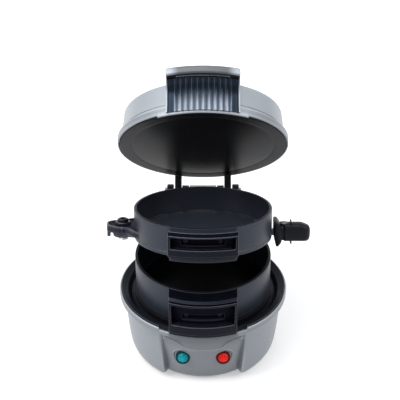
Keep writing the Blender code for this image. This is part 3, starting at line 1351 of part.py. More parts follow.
def ribbed_insert(leaf, face, low, high, back, half):
    """The dark insert: its front follows the cove, with upright ribs that fade out at the sides."""
    count = RIB_COUNT * RIB_STEPS
    zone = RIB_COUNT * RIB_PITCH / 2
    stations = [-half] + [zone * (2 * k / count - 1) for k in range(count + 1)] + [half]
    front = [(r - GAP, min(z, high)) for r, z in face]
    rows = len(front) + 2
    points = []
    for x in stations:
        wave = 0.5 - 0.5 * math.cos(2 * math.pi * (x + zone) / RIB_PITCH) if abs(x) < zone else 0.0
        for r, z in front:
            radius = r - RIB_HEIGHT * (1 - wave)
            points.append((x, -math.sqrt(radius**2 - x**2), z))
        for z in (high, low):
            points.append((x, -math.sqrt(back**2 - x**2), z))
    faces = [tuple(range(rows)), tuple(range((len(stations) - 1) * rows, len(stations) * rows))]
    for k in range(len(stations) - 1):
        for i in range(rows):
            j = (i + 1) % rows
            faces.append((k * rows + i, k * rows + j, (k + 1) * rows + j, (k + 1) * rows + i))
    return solid("lid_handle_insert", points, faces, leaf, SMOKED)


def grown_lid(name, leaf):
    outer = lid_outer()
    swell = 1 / math.cos(math.pi / ROUND)
    rim = (RIM_RADIUS + GAP) * swell
    profile = [(0, LID_Z), (rim, LID_Z), (rim, outer[1][1] + GAP * 3)]
    profile += [((r + GAP) * swell, z + GAP) for r, z in outer[3:]]
    profile.append((0, LID_TOP_Z + GAP))
    return turned(name, profile, leaf)


def make_bracket(leaf, shell):
    """The lid's hinge bracket: a plate behind the skirt and two arms down to the pin."""
    reach = LID_KNUCKLE_X + LID_KNUCKLE_WIDTH
    plate = [
        (BRACKET_FRONT_Y, BRACKET_PLATE_Z),
        (BRACKET_BACK_Y, BRACKET_PLATE_Z),
        (BRACKET_BACK_Y, BRACKET_TOP_Z),
        (BRACKET_FRONT_Y, BRACKET_TOP_Z),
    ]
    outline = hull_outline(circle((PIN_Y, PIN_Z), KNUCKLE_RADIUS, steps=FINE) + plate[:1] + plate[2:])
    bracket = prism("lid_hinge_bracket", plate, -reach, reach, "x", leaf, BLACK)
    for side, low, high in (("right", LID_KNUCKLE_X, reach), ("left", -reach, -LID_KNUCKLE_X)):
        combine(bracket, prism("lid_arm_" + side, outline, low, high, "x", leaf), "UNION")
    combine(bracket, grown_lid("bracket_seat", leaf), "DIFFERENCE")
    bore_leaf(bracket, "bracket_bore", reach, leaf)
    middle = (BRACKET_TOP_Z + BRACKET_PLATE_Z) / 2
    for k, side in enumerate((-1, 1)):
        x = side * BRACKET_SCREW_X
        end = BRACKET_BACK_Y - BACK_SCREW_LENGTH - SHELL_WALL
        for holder in (bracket, shell):
            cut = rod(
                "%s_hole_%d" % (holder.name, k + 1),
                (x, BRACKET_BACK_Y + OVERRUN, middle),
                (x, end - OVERRUN, middle),
                SCREW_RADIUS + SCREW_CLEARANCE,
                leaf,
                steps=TINY,
            )
            combine(holder, cut, "DIFFERENCE")
        place = (x, BRACKET_BACK_Y + GAP / 2, middle)
        screw("bracket_screw_%d" % (k + 1), place, (0, 1, 0), BRACKET_BACK_Y - end, leaf)


def main():
    clear_scene()
    stand = empty("stand", (-STAND_X, -STAND_Y, 0.0))
    pin = Vector((0.0, PIN_Y, PIN_Z))
    base = {"axis": stand, "origin": Vector((0.0, 0.0, 0.0))}
    bottom = {"axis": empty("bottom_ring_axis", pin, stand), "origin": pin}
    top_axis = empty("top_ring_axis", pin, stand, TOP_RING_ANGLE)
    top = {"axis": top_axis, "origin": pin}
    lid = {"axis": empty("lid_axis", pin, stand, LID_ANGLE), "origin": pin}
    pivot = Vector((PIVOT_X, PIVOT_Y, PLATE_Z))
    plate = {"axis": empty("plate_axis", pivot - pin, top_axis), "origin": pivot}
    make_base(base)
    make_bottom_ring(bottom)
    make_top_ring(top)
    make_cooking_plate(plate)
    make_lid(lid)
    bpy.context.view_layer.update()


main()
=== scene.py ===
import json
import math

import bmesh
import bpy
import numpy as np
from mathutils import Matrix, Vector
from mathutils.geometry import convex_hull_2d


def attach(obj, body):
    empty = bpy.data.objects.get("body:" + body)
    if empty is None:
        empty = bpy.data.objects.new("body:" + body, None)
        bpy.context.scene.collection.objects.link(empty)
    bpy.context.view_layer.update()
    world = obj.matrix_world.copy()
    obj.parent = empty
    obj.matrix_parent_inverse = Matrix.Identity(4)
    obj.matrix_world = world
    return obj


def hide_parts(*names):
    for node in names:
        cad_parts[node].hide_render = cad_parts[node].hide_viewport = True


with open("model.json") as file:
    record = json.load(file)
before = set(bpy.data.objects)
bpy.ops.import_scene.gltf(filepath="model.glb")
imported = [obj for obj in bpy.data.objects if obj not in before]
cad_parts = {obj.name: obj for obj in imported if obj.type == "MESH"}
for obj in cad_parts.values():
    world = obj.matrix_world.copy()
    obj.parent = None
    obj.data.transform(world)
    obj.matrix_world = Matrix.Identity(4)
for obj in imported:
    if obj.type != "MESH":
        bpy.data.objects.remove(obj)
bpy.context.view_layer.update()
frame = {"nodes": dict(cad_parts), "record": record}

# Sizes are millimetres in the closed machine's frame: the base's axis is x = y = 0, the table z = 0, the
# front -Y. The machine stands with that axis at -STAND of the frame and turns about PIN, by OPENING.
MM = 0.001
STAND = np.array([4.8, 14.5, 0.0])
PIN = np.array([0.0, 76.0, 108.0])
OPENING = {"base": 0.0, "bottom_leaf": 0.0, "top_leaf": 14.0, "swing_plate": 14.0, "lid": 52.0}
# Neighbours lie GAP apart, a reach of FULL rounds a side from its middle, and ROUND columns make a turn.
GAP = 0.3
FULL = 1e3
ROUND = 168

RING_RADIUS = 57.0
RIM_RADIUS = 71.0
BASE_TOP = 63.0
BOTTOM_LOW, BOTTOM_HIGH = 63.0, 94.5
PLATE_LOW, PLATE_HIGH = 94.8, 97.8
TOP_LOW, TOP_HIGH = 98.1, 119.1
LID_LOW, LID_HIGH = 119.4, 150.4
PIVOT = (-66.5, 2.5)
HANDLE_Y = 2.5


def to_rest(points, body):
    """Closed-frame millimetres as rest-pose metres: turned about the pin with the front going up."""
    turn = math.radians(OPENING[body])
    away = np.asarray(points, float) - PIN
    y = away[:, 1] * math.cos(turn) + away[:, 2] * math.sin(turn)
    z = away[:, 2] * math.cos(turn) - away[:, 1] * math.sin(turn)
    return (np.stack([away[:, 0], y, z], 1) + PIN - STAND) * MM


def grid_faces(rows, columns, wrap_rows, wrap_columns):
    """Quads of a grid of points kept row by row; a wrapped side joins its last line to its first."""
    i, j = np.meshgrid(
        np.arange(rows if wrap_rows else rows - 1),
        np.arange(columns if wrap_columns else columns - 1),
        indexing="ij",
    )
    down, right = (i + 1) % rows, (j + 1) % columns
    quads = [i * columns + j, down * columns + j, down * columns + right, i * columns + right]
    return np.stack(quads, -1).reshape(-1, 4).tolist()


def tube_faces(rows, columns):
    """The faces of a closed outline carried along rows, with one face at each end."""
    ends = [list(range(columns)), list(range((rows - 1) * columns, rows * columns))]
    return grid_faces(rows, columns, False, True) + ends


def read(items, label, width=1, kind=float):
    """One property of every item of a mesh as an array of rows."""
    values = np.empty(len(items) * width, kind)
    items.foreach_get(label, values)
    return values.reshape(-1, width) if width > 1 else values


# A vertex counts as an outer edge from EDGE_START on, in full EDGE_SPAN later. Doubles are in metres.
EDGE_START, EDGE_SPAN = 0.13, 0.1
DOUBLES = 2e-6


def proud_edges(mesh):
    """0 on flat or hollow places and 1 on outer edges: the mean sine of the turn from a vertex's normal
    to its faces' normals, counted against where the vertex lies below a face's middle."""
    vertex = read(mesh.loops, "vertex_index", kind=int)
    face = np.repeat(np.arange(len(mesh.polygons)), read(mesh.polygons, "loop_total", kind=int))
    normal = read(mesh.vertex_normals, "vector", 3)[vertex]
    across = (normal * read(mesh.polygon_normals, "vector", 3)[face]).sum(1)
    gap = read(mesh.vertices, "co", 3)[vertex] - read(mesh.polygons, "center", 3)[face]
    bend = np.sqrt(np.maximum(1 - across**2, 0)) * np.sign((gap * normal).sum(1))
    count = len(mesh.vertices)
    mean = np.bincount(vertex, bend, count) / np.maximum(np.bincount(vertex, minlength=count), 1)
    return np.clip((mean - EDGE_START) / EDGE_SPAN, 0, 1)


def piece(name, body, parts, finish, stands_for=(), sharp=35.0):
    """One object from closed parts of (points, faces[, shade[, highlight share]]): doubles merged, faces
    outwards.

    Two attributes go with it for the finish: shade, 0 to 1, a painted shade, and edge, a painted highlight:
    the part's highlight share times proud_edges.
    """
    points, faces, masks, start = [], [], [], 0
    for part_points, part_faces, *mask in parts:
        points.append(to_rest(part_points, body))
        faces += [[i + start for i in face] for face in part_faces]
        masks.append(np.stack([m + 0 * part_points[:, 0] for m in mask + [0.0, 1.0][len(mask):]]))
        start += len(part_points)
    mesh = bpy.data.meshes.new(name)
    mesh.from_pydata(np.concatenate(points).tolist(), [], faces)
    for label, values in zip(("shade", "edge"), np.concatenate(masks, 1)):
        mesh.attributes.new(label, "FLOAT", "POINT").data.foreach_set("value", values)
    work = bmesh.new()
    work.from_mesh(mesh)
    bmesh.ops.remove_doubles(work, verts=work.verts, dist=DOUBLES)
    bmesh.ops.recalc_face_normals(work, faces=work.faces)
    work.to_mesh(mesh)
    work.free()
    # edge: the part's share of painted highlight times proud_edges
    edge_highlight = mesh.attributes["edge"].data
    edge_highlight.foreach_set("value", read(edge_highlight, "value") * proud_edges(mesh))
    mesh.shade_smooth()
    mesh.set_sharp_from_angle(angle=math.radians(sharp))
    mesh.materials.append(finish)
    made = bpy.data.objects.new(name, mesh)
    bpy.context.collection.objects.link(made)
    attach(made, body)
    if stands_for:
        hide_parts(*stands_for)
    return made


def soften(points, reach, steps=4, closed=True):
    """Each corner becomes a quadratic arc between the points reach away along its two sides.

    The sides' lengths are those of the first two columns; further columns follow in the same shares.
    """
    corner = np.asarray(points, float)
    back = np.roll(corner, 1, 0) - corner
    ahead = np.roll(corner, -1, 0) - corner
    back_length = np.maximum(np.hypot(back[:, 0], back[:, 1]), 1e-9)
    ahead_length = np.maximum(np.hypot(ahead[:, 0], ahead[:, 1]), 1e-9)
    distance = np.minimum(np.broadcast_to(reach, len(corner)), np.minimum(back_length, ahead_length) / 2)
    start = corner + back * (distance / back_length)[:, None]
    end = corner + ahead * (distance / ahead_length)[:, None]
    t = np.linspace(0, 1, steps + 1)[None, :, None]
    arcs = start[:, None] * (1 - t) ** 2 + 2 * corner[:, None] * t * (1 - t) + end[:, None] * t**2
    if closed:
        return arcs.reshape(-1, corner.shape[1])
    middle = arcs[1:-1].reshape(-1, corner.shape[1])
    return np.concatenate([corner[:1], middle, corner[-1:]])


def rounded(corners, steps=4, closed=True):
    """soften for corners that carry their own reach in the last column."""
    corners = np.asarray(corners, float)
    return soften(corners[:, :-1], corners[:, -1], steps, closed)


def divide(points, limit, closed=True):
    """More points along the sides, evenly spaced and at most limit apart."""
    corner = np.asarray(points, float)
    ends = np.concatenate([corner, corner[:1]]) if closed else corner
    step = np.hypot(*(np.diff(ends, axis=0)[:, :2].T))
    counts = np.maximum(np.ceil(step / limit), 1).astype(int)
    places = np.repeat(np.arange(len(counts)), counts)
    within = np.concatenate([np.arange(c) / c for c in counts])
    lines = ends[places] * (1 - within[:, None]) + ends[places + 1] * within[:, None]
    return lines if closed else np.concatenate([lines, corner[-1:]])


def draw_in(outline, distance):
    """A closed outline moved inwards by distance along its corners' mitred normals."""
    corner = np.asarray(outline, float)
    side = np.roll(corner, -1, 0) - corner
    side /= np.maximum(np.hypot(*side.T), 1e-9)[:, None]
    normal = np.stack([-side[:, 1], side[:, 0]], 1)
    middle = normal + np.roll(normal, 1, 0)
    middle /= np.maximum(np.hypot(*middle.T), 1e-9)[:, None]
    reach = 1 / np.maximum((middle * normal).sum(1), 0.5)
    area = (corner[:, 0] * np.roll(corner[:, 1], -1) - corner[:, 1] * np.roll(corner[:, 0], -1)).sum()
    return corner + middle * (reach * distance * np.sign(area))[:, None]


def turned(profile, centre=(0.0, 0.0), columns=ROUND):
    """A closed profile of (radius, height) turned about the vertical axis at centre."""
    profile = np.asarray(profile, float)
    turn = 2 * np.pi * np.arange(columns) / columns
    x = centre[0] + profile[:, :1] * np.cos(turn)
    y = centre[1] + profile[:, :1] * np.sin(turn)
    z = np.broadcast_to(profile[:, 1:2], x.shape)
    points = np.stack([x, y, z], -1).reshape(-1, 3)
    return points, grid_faces(len(profile), columns, True, True)


def aimed(part, place, direction):
    """A part made about the z axis, set at place with that axis along direction."""
    matrix = np.array(Vector(direction).to_track_quat("Z", "Y").to_matrix())
    return part[0] @ matrix.T + np.asarray(place, float), part[1]


def arc(profile, half, edge, columns, centre_x=0.0):
    """A closed profile of (radius, height) swept round the front from -half to half, its ends rounded.

    At an end the outline is drawn in by edge * (1 - cos t) while x runs out by edge * sin t.
    """
    t = np.linspace(0, np.pi / 2, 4)
    draw = edge * (1 - np.cos(t[1:]))
    run = edge * np.sin(t[1:])
    inner = half - edge
    x = np.concatenate([-inner - run[::-1], np.linspace(-inner, inner, columns), inner + run]) + centre_x
    inset = np.concatenate([draw[::-1], np.zeros(columns), draw])
    outlines = np.stack([draw_in(profile, d) for d in inset])
    radius, z = outlines[..., 0], outlines[..., 1]
    across = np.broadcast_to(x[:, None], radius.shape)
    points = np.stack([across, -np.sqrt(radius**2 - across**2), z], -1)
    rows, count = radius.shape
    return points.reshape(-1, 3), tube_faces(rows, count)


def slab(outline, low, high, axis, edge=0.6, steps=4):
    """An outline carried from low to high along an axis, its two rims rounded as quarter circles."""
    t = np.linspace(0, np.pi / 2, steps)
    inset = np.concatenate([edge * (1 - np.sin(t)), edge * (1 - np.sin(t[::-1]))])
    level = np.concatenate([low + edge * (1 - np.cos(t)), high - edge * (1 - np.cos(t[::-1]))])
    plans = np.stack([draw_in(outline, d) for d in inset])
    height = np.broadcast_to(level[:, None], plans.shape[:2])
    u, v = plans[..., 0], plans[..., 1]
    order = {"x": (height, u, v), "y": (u, height, v), "z": (u, v, height)}[axis]
    rows, count = height.shape
    return np.stack(order, -1).reshape(-1, 3), tube_faces(rows, count)


def band(outline, width, low, high):
    """A closed rail along an outline: a rounded rectangle of (inset, level) carried round it."""
    profile = soften([(0, low), (0, high), (width, high), (width, low)], 0.35, 4)
    plans = np.stack([draw_in(outline, d) for d in profile[:, 0]])
    level = np.broadcast_to(profile[:, 1:], plans.shape[:2])
    points = np.stack([plans[..., 0], plans[..., 1], level], -1)
    return points.reshape(-1, 3), grid_faces(*level.shape, True, True)


def box(low_u, high_u, low_v, high_v):
    """The four corners of a rectangle."""
    return [(low_u, low_v), (high_u, low_v), (high_u, high_v), (low_u, high_v)]


def circle(centre, radius, count):
    """A round outline of count points."""
    turn = 2 * np.pi * np.arange(count) / count
    return np.stack([centre[0] + radius * np.cos(turn), centre[1] + radius * np.sin(turn)], 1)


def hull(*groups):
    """The convex outline round groups of points."""
    points = np.concatenate([np.asarray(g, float) for g in groups])
    return points[convex_hull_2d([Vector(p) for p in points.tolist()])]


def radial(points):
    """Each point's distance from the machine's axis."""
    return np.hypot(points[:, 0], points[:, 1])


def eye(radius, root):
    """The convex outline of an eye round the pin and its root."""
    return hull(circle(PIN[1:], radius, 64), root)


def slab_pair(outline, middle, half, edge):
    """Two slabs across x, at middle to each side."""
    return [slab(outline, side * middle - half, side * middle + half, "x", edge) for side in (-1, 1)]


def ease(t):
    """3 t^2 - 2 t^3, held at 0 and 1 outside its stretch."""
    t = np.clip(t, 0, 1)
    return t * t * (3 - 2 * t)


def bead(distance, rise, centre, width):
    """A low rounded line: rise * exp(-((distance - centre) / width)^2)."""
    return rise * np.exp(-(((distance - centre) / width) ** 2))


def box_distance(u, v, half_u, half_v, corner):
    """Distance outside a rectangle with rounded corners, negative inside it."""
    a, b = np.abs(u) - half_u + corner, np.abs(v) - half_v + corner
    outside = np.hypot(np.maximum(a, 0), np.maximum(b, 0))
    return outside + np.minimum(np.maximum(a, b), 0) - corner


SPACING, CLOSE = 0.55, (-0.3, -0.15, 0.0, 0.15, 0.3)


def marks(half, edges):
    """Places from -half to half, SPACING apart, with those of CLOSE round each edge and its mirror."""
    count = int(math.ceil(2 * half / SPACING)) + 1
    near = [side * (edge + offset) for edge in edges for offset in CLOSE for side in (-1, 1)]
    places = np.unique(np.concatenate([np.linspace(-half, half, count), near]))
    return places[np.abs(places) <= half]


def relief(profile, x, back, shape):
    """A block round the front: each (radius, height) of its outer profile becomes a row, and shape
    gives the radius at each place of the row. A round back and two flat sides close it."""
    across, height = np.meshgrid(x, profile[:, 1])
    radius = shape(across, height, np.broadcast_to(profile[:, :1], across.shape))
    front = np.stack([across, -np.sqrt(radius**2 - across**2), height], -1)
    rows, columns = across.shape
    rear_y = -np.sqrt(back**2 - x**2)
    low, high = np.full(columns, profile[0, 1]), np.full(columns, profile[-1, 1])
    rear = np.stack([np.stack([x, rear_y, high], -1), np.stack([x, rear_y, low], -1)])
    points = np.concatenate([front, rear])
    faces = grid_faces(rows + 2, columns, True, False)
    faces.append([i * columns for i in range(rows + 2)])
    faces.append([i * columns + columns - 1 for i in range(rows + 2)])
    return points.reshape(-1, 3), faces


def lowered(radius, height, drop=0.0):
    """A row for rimmed whose front lies lower by drop."""
    return (radius, height, radius, height - drop)


def even_edges(round_half, front_half):
    """The same two half widths for rimmed at every height."""
    return lambda z: (np.full_like(z, round_half), np.full_like(z, front_half))


# Near the axis the front stretch is at most FRONT_SHARE of the radius to each side. STATIONS are extra
# places beside the creases, as shares of the round wall.
FRONT_SHARE = 0.8
STATIONS = (0.0015, 0.003, 0.997, 0.9985)
CREASE_PULL, GROOVE_WIDTH, GROOVE_START, MEAN_RADIUS = 1.8, 0.15, 3.0, 60.0


def rimmed(rows, edges, panel, crease, body, dent=None, groove=0.0):
    """A turned shell whose front stretch follows a second profile.

    Each row is (radius, height, front radius, front height). edges gives the half widths where the
    round wall ends and where the front starts; between them a crease, a cubic that leaves along the
    round wall and arrives straight, with a groove beside the front. dent(x, z, radius) changes the
    front's radius.
    """
    radius, height, front_radius, front_height = rows.T[:, :, None]
    round_half, front_half = edges(front_height)
    fit = np.minimum(FRONT_SHARE * radius / round_half, 1)
    x = front_half * fit * np.linspace(-1, 1, panel)
    near = np.broadcast_to(front_radius, x.shape)
    z = np.broadcast_to(front_height, x.shape)
    if dent:
        near = dent(x, z, near)
    front = np.stack([x, -np.sqrt(np.maximum(near**2 - x**2, 0)), z], -1)
    away = np.arcsin(np.minimum(round_half * fit / np.maximum(radius, 1e-6), 1))
    stations = np.sort(np.concatenate([np.linspace(0, 1, body), STATIONS]))
    turn = -np.pi / 2 + away + (2 * np.pi - 2 * away) * stations
    ring = np.stack([radius * np.cos(turn), radius * np.sin(turn), np.broadcast_to(height, turn.shape)], -1)
    start, end = ring[:, :1], front[:, -1:]
    along = start[..., [1, 0, 2]] * [1, -1, 0] / np.maximum(radius, 1e-6)[..., None]
    reach = np.linalg.norm(end - start, axis=2, keepdims=True)
    t = np.linspace(0, 1, crease + 2)[-2:0:-1][None, :, None]
    right = start * (1 + 2 * t) * (1 - t) ** 2 + end * (3 - 2 * t) * t**2
    right = right + CREASE_PULL * reach * along * t * (1 - t) ** 2 - (end - start) * (1 - t) * t**2
    sink = bead(1 - t, groove, 0, GROOVE_WIDTH) * (height > GROOVE_START)[..., None]
    right = right * (1 - [1, 1, 0] * sink / MEAN_RADIUS)
    left = right[:, ::-1] * [-1, 1, 1]
    points = np.concatenate([front, right, ring, left], 1)
    count, columns = points.shape[:2]
    return points.reshape(-1, 3), grid_faces(count, columns, True, True)


def disc(rings, columns):
    """The share of the radius and the angle at each place of a disc's grid."""
    return np.meshgrid(np.linspace(0, 1, rings), 2 * np.pi * np.arange(columns) / columns, indexing="ij")


def closed_disc(x, y, z, back):
    """A disc's grid of points, closed by its rim and centre at the height back."""
    rim = np.stack([x[-1], y[-1], np.full(x.shape[1], back)], -1)
    points = np.concatenate([np.stack([x, y, z], -1), rim[None], (rim * [0, 0, 1])[None]])
    return points.reshape(-1, 3), grid_faces(*points.shape[:2], False, True)


# Shares of a screw head's radius, and of its rise for the cross's depth and the head's edge.
CROSS_LENGTH, CROSS_WIDTH, CROSS_DEPTH, HEAD_EDGE = 0.62, 0.13, 0.55, 0.35
CROSS_SOFT, CROSS_CORNER = 0.2, 0.02


def cross_screw(radius, rise):
    """A low domed head: over a disc, rise * (e + (1 - e) (1 - r^2)^0.5) with its edge e, less the cross."""
    share, turn = disc(15, 48)
    x, y = radius * share * np.cos(turn), radius * share * np.sin(turn)
    long, wide = CROSS_LENGTH * radius, CROSS_WIDTH * radius
    arms = [box_distance(x, y, u, v, CROSS_CORNER) for u, v in ((long, wide), (wide, long))]
    cross = ease(0.5 - np.minimum(*arms) / CROSS_SOFT)
    dome = HEAD_EDGE + (1 - HEAD_EDGE) * np.sqrt(np.maximum(1 - share**2, 0))
    return closed_disc(x, y, rise * (dome - CROSS_DEPTH * cross), -rise)


# Finishes


def group(name, inputs, outputs):
    """A shader node group with its named sockets, and its input and output nodes."""
    tree = bpy.data.node_groups.new(name, "ShaderNodeTree")
    for label, kind, value in inputs:
        socket = tree.interface.new_socket(label, in_out="INPUT", socket_type=kind)
        socket.default_value = value
    for label, kind in outputs:
        tree.interface.new_socket(label, in_out="OUTPUT", socket_type=kind)
    return tree, tree.nodes.new("NodeGroupInput"), tree.nodes.new("NodeGroupOutput")


def add(tree, kind, **values):
    """A node with its settings, or with its sockets' values where it has no such setting."""
    node = tree.nodes.new(kind)
    for label, value in values.items():
        if hasattr(node, label):
            setattr(node, label, value)
        else:
            node.inputs[label.replace("_", " ").title()].default_value = value
    return node


def blend(tree, low, high, factor):
    """low where factor is 0 and high where it is 1, all of them sockets."""
    node = tree.nodes.new("ShaderNodeMapRange")
    for target, source in zip((3, 4, 0), (low, high, factor)):
        tree.links.new(source, node.inputs[target])
    return node.outputs[0]


# The tone is FINE_SHARE of the fine noise and as much of the broad one, spread out between TONE_LOW and
# TONE_HIGH. The painted highlight on proud edges shows by at least the last of these values.
BROAD_SCALE, FINE_SHARE, TONE_LOW, TONE_HIGH, HIGHLIGHT_LEAST = 34.0, 0.5, 0.3, 0.7, 0.55


def grain_and_painted_light_group():
    """Fine moulded or sprayed grain: a height from fine noise, and a tone and roughness from broad noise.

    The colour turns to the painted highlight colour on proud edges, more where the noise is high, and to
    black by Shade, a painted shade.
    """
    tree, given, out = group(
        "grain_and_painted_light",
        [
            ("Size", "NodeSocketFloat", 1500.0),
            ("Rough Low", "NodeSocketFloat", 0.3),
            ("Rough High", "NodeSocketFloat", 0.4),
            ("Dark", "NodeSocketColor", (0.1, 0.1, 0.1, 1.0)),
            ("Light", "NodeSocketColor", (0.2, 0.2, 0.2, 1.0)),
            ("Highlight", "NodeSocketColor", (0.3, 0.3, 0.3, 1.0)),
            ("Edge", "NodeSocketFloat", 0.0),
            ("Shade", "NodeSocketFloat", 0.0),
        ],
        [("Color", "NodeSocketColor"), ("Roughness", "NodeSocketFloat"), ("Height", "NodeSocketFloat")],
    )
    join = tree.links.new
    place = tree.nodes.new("ShaderNodeTexCoord").outputs["Object"]
    fine = add(tree, "ShaderNodeTexNoise", detail=2.0, roughness=0.55)
    broad = add(tree, "ShaderNodeTexNoise", scale=BROAD_SCALE, detail=3.0, roughness=0.5)
    join(place, fine.inputs["Vector"])
    join(place, broad.inputs["Vector"])
    join(given.outputs["Size"], fine.inputs["Scale"])
    both = add(tree, "ShaderNodeMath", operation="MULTIPLY_ADD")
    both.inputs[1].default_value = FINE_SHARE
    join(fine.outputs["Fac"], both.inputs[0])
    half = add(tree, "ShaderNodeMath", operation="MULTIPLY")
    half.inputs[1].default_value = FINE_SHARE
    join(broad.outputs["Fac"], half.inputs[0])
    join(half.outputs[0], both.inputs[2])
    spread = add(tree, "ShaderNodeMapRange")
    spread.inputs[1].default_value = TONE_LOW
    spread.inputs[2].default_value = TONE_HIGH
    join(both.outputs[0], spread.inputs[0])
    mix = add(tree, "ShaderNodeMix", data_type="RGBA")
    join(spread.outputs[0], mix.inputs["Factor"])
    join(given.outputs["Dark"], mix.inputs[6])
    join(given.outputs["Light"], mix.inputs[7])
    # share of painted highlight: the edge attribute, more where the noise is high
    highlit = add(tree, "ShaderNodeMath", operation="MULTIPLY", use_clamp=True)
    join(given.outputs["Edge"], highlit.inputs[0])
    often = add(tree, "ShaderNodeMapRange")
    often.inputs[3].default_value = HIGHLIGHT_LEAST
    join(spread.outputs[0], often.inputs[0])
    join(often.outputs[0], highlit.inputs[1])
    # painted highlight colour on proud edges
    highlighted = add(tree, "ShaderNodeMix", data_type="RGBA")
    join(highlit.outputs[0], highlighted.inputs["Factor"])
    join(mix.outputs[2], highlighted.inputs[6])
    join(given.outputs["Highlight"], highlighted.inputs[7])
    # painted shade: the colour mixed towards black
    shaded = add(tree, "ShaderNodeMix", data_type="RGBA")
    join(given.outputs["Shade"], shaded.inputs["Factor"])
    join(highlighted.outputs[2], shaded.inputs[6])
    shaded.inputs[7].default_value = (0.0, 0.0, 0.0, 1.0)
    join(shaded.outputs[2], out.inputs["Color"])
    rough = blend(tree, given.outputs["Rough Low"], given.outputs["Rough High"], spread.outputs[0])
    join(rough, out.inputs["Roughness"])
    join(fine.outputs["Fac"], out.inputs["Height"])
    return tree


GRAIN_AND_PAINTED_LIGHT = grain_and_painted_light_group()


def finish(
    name, dark, light, rough, metallic, size, bump, glow=None, edge_highlight=None, gloss=0.5, tint=(1.0, 1.0, 1.0)
):
    """A Principled surface whose colour, roughness and bump come from the group of grain, painted highlight
    and painted shade.

    Its outer edges get a painted highlight colour, by default its light tone; gloss is its specular level,
    tint the colour of its reflections and glow a lit colour with its strength.
    """
    made = bpy.data.materials.new(name)
    made.use_nodes = True
    tree = made.node_tree
    join = tree.links.new
    shader = tree.nodes["Principled BSDF"]
    grain = tree.nodes.new("ShaderNodeGroup")
    grain.node_tree = GRAIN_AND_PAINTED_LIGHT
    for label, value in (("Size", size), ("Rough Low", rough[0]), ("Rough High", rough[1])):
        grain.inputs[label].default_value = value
    grain.inputs["Dark"].default_value = (*dark, 1.0)
    grain.inputs["Light"].default_value = (*light, 1.0)
    # the painted highlight colour on proud edges, by default the light tone
    grain.inputs["Highlight"].default_value = (*(edge_highlight or light), 1.0)
    # the edge attribute places the painted highlight, the shade attribute the painted shade
    for label in ("Edge", "Shade"):
        mask = add(tree, "ShaderNodeAttribute", attribute_name=label.lower())
        join(mask.outputs["Fac"], grain.inputs[label])
    join(grain.outputs["Color"], shader.inputs["Base Color"])
    join(grain.outputs["Roughness"], shader.inputs["Roughness"])
    relief_node = tree.nodes.new("ShaderNodeBump")
    relief_node.inputs["Strength"].default_value = bump
    relief_node.inputs["Distance"].default_value = MM
    join(grain.outputs["Height"], relief_node.inputs["Height"])
    join(relief_node.outputs["Normal"], shader.inputs["Normal"])
    shader.inputs["Metallic"].default_value = metallic
    shader.inputs["Specular IOR Level"].default_value = gloss
    shader.inputs["Specular Tint"].default_value = (*tint, 1.0)
    if glow:
        shader.inputs["Emission Color"].default_value = (*glow[0], 1.0)
        shader.inputs["Emission Strength"].default_value = glow[1]
    return made


# Each finish's colour for outer edges, where given, is a painted highlight there.
SILVER = finish(
    "silver_lacquer", (0.345, 0.375, 0.415), (0.395, 0.425, 0.465), (0.34, 0.42), 0.18, 2600.0, 0.03,
    edge_highlight=(0.62, 0.65, 0.69), gloss=0.4,
)
BLACK = finish(
    "moulded_black", (0.003, 0.0035, 0.006), (0.006, 0.007, 0.011), (0.32, 0.4), 0.0, 2200.0, 0.06,
    edge_highlight=(0.20, 0.205, 0.23), gloss=0.13,
)
GLOSS = finish(
    "satin_black", (0.010, 0.0115, 0.017), (0.014, 0.016, 0.023), (0.28, 0.34), 0.0, 900.0, 0.01,
    edge_highlight=(0.16, 0.165, 0.18), gloss=0.25, tint=(0.85, 0.88, 1.0),
)
COATED = finish(
    "dark_coating", (0.027, 0.034, 0.048), (0.036, 0.043, 0.060), (0.34, 0.42), 0.3, 2400.0, 0.05,
    edge_highlight=(0.17, 0.175, 0.205), gloss=0.27,
)
GRIP = finish(
    "grip_black", (0.0025, 0.003, 0.006), (0.004, 0.005, 0.009), (0.24, 0.3), 0.0, 2200.0, 0.05,
    edge_highlight=(0.15, 0.155, 0.19), gloss=0.15, tint=(0.72, 0.76, 1.0),
)
WELL = finish(
    "matt_black", (0.003, 0.003, 0.008), (0.005, 0.005, 0.011), (0.5, 0.6), 0.0, 1800.0, 0.05,
    edge_highlight=(0.045, 0.046, 0.06), gloss=0.06, tint=(0.72, 0.76, 1.0),
)
INSIDE = finish(
    "cooking_coating", (0.005, 0.005, 0.006), (0.008, 0.008, 0.009), (0.3, 0.38), 0.0, 2400.0, 0.05,
    gloss=0.12, tint=(0.85, 0.88, 1.0),
)
RIBBED = finish(
    "smoked_rib", (0.20, 0.235, 0.28), (0.25, 0.285, 0.33), (0.2, 0.26), 0.35, 900.0, 0.0,
    edge_highlight=(0.38, 0.42, 0.48), gloss=0.3, tint=(0.35, 0.6, 1.0),
)
STEEL = finish("screw_steel", (0.42, 0.43, 0.44), (0.5, 0.51, 0.52), (0.24, 0.34), 1.0, 1800.0, 0.03)
DARK_STEEL = finish(
    "dark_screw", (0.05, 0.052, 0.058), (0.07, 0.073, 0.08), (0.28, 0.36), 0.8, 1800.0, 0.03,
    edge_highlight=(0.3, 0.31, 0.32),
)
GREEN = finish(
    "green_lens", (0.0, 0.34, 0.40), (0.0, 0.44, 0.51), (0.1, 0.16), 0.0, 500.0, 0.02,
    glow=((0.0, 0.36, 0.41), 0.3), edge_highlight=(0.05, 0.62, 0.70), gloss=0.12,
)
RED = finish(
    "red_lens", (0.75, 0.010, 0.008), (0.95, 0.018, 0.014), (0.1, 0.16), 0.0, 500.0, 0.02,
    glow=((0.8, 0.012, 0.008), 0.42), edge_highlight=(1.0, 0.14, 0.11), gloss=0.12,
)
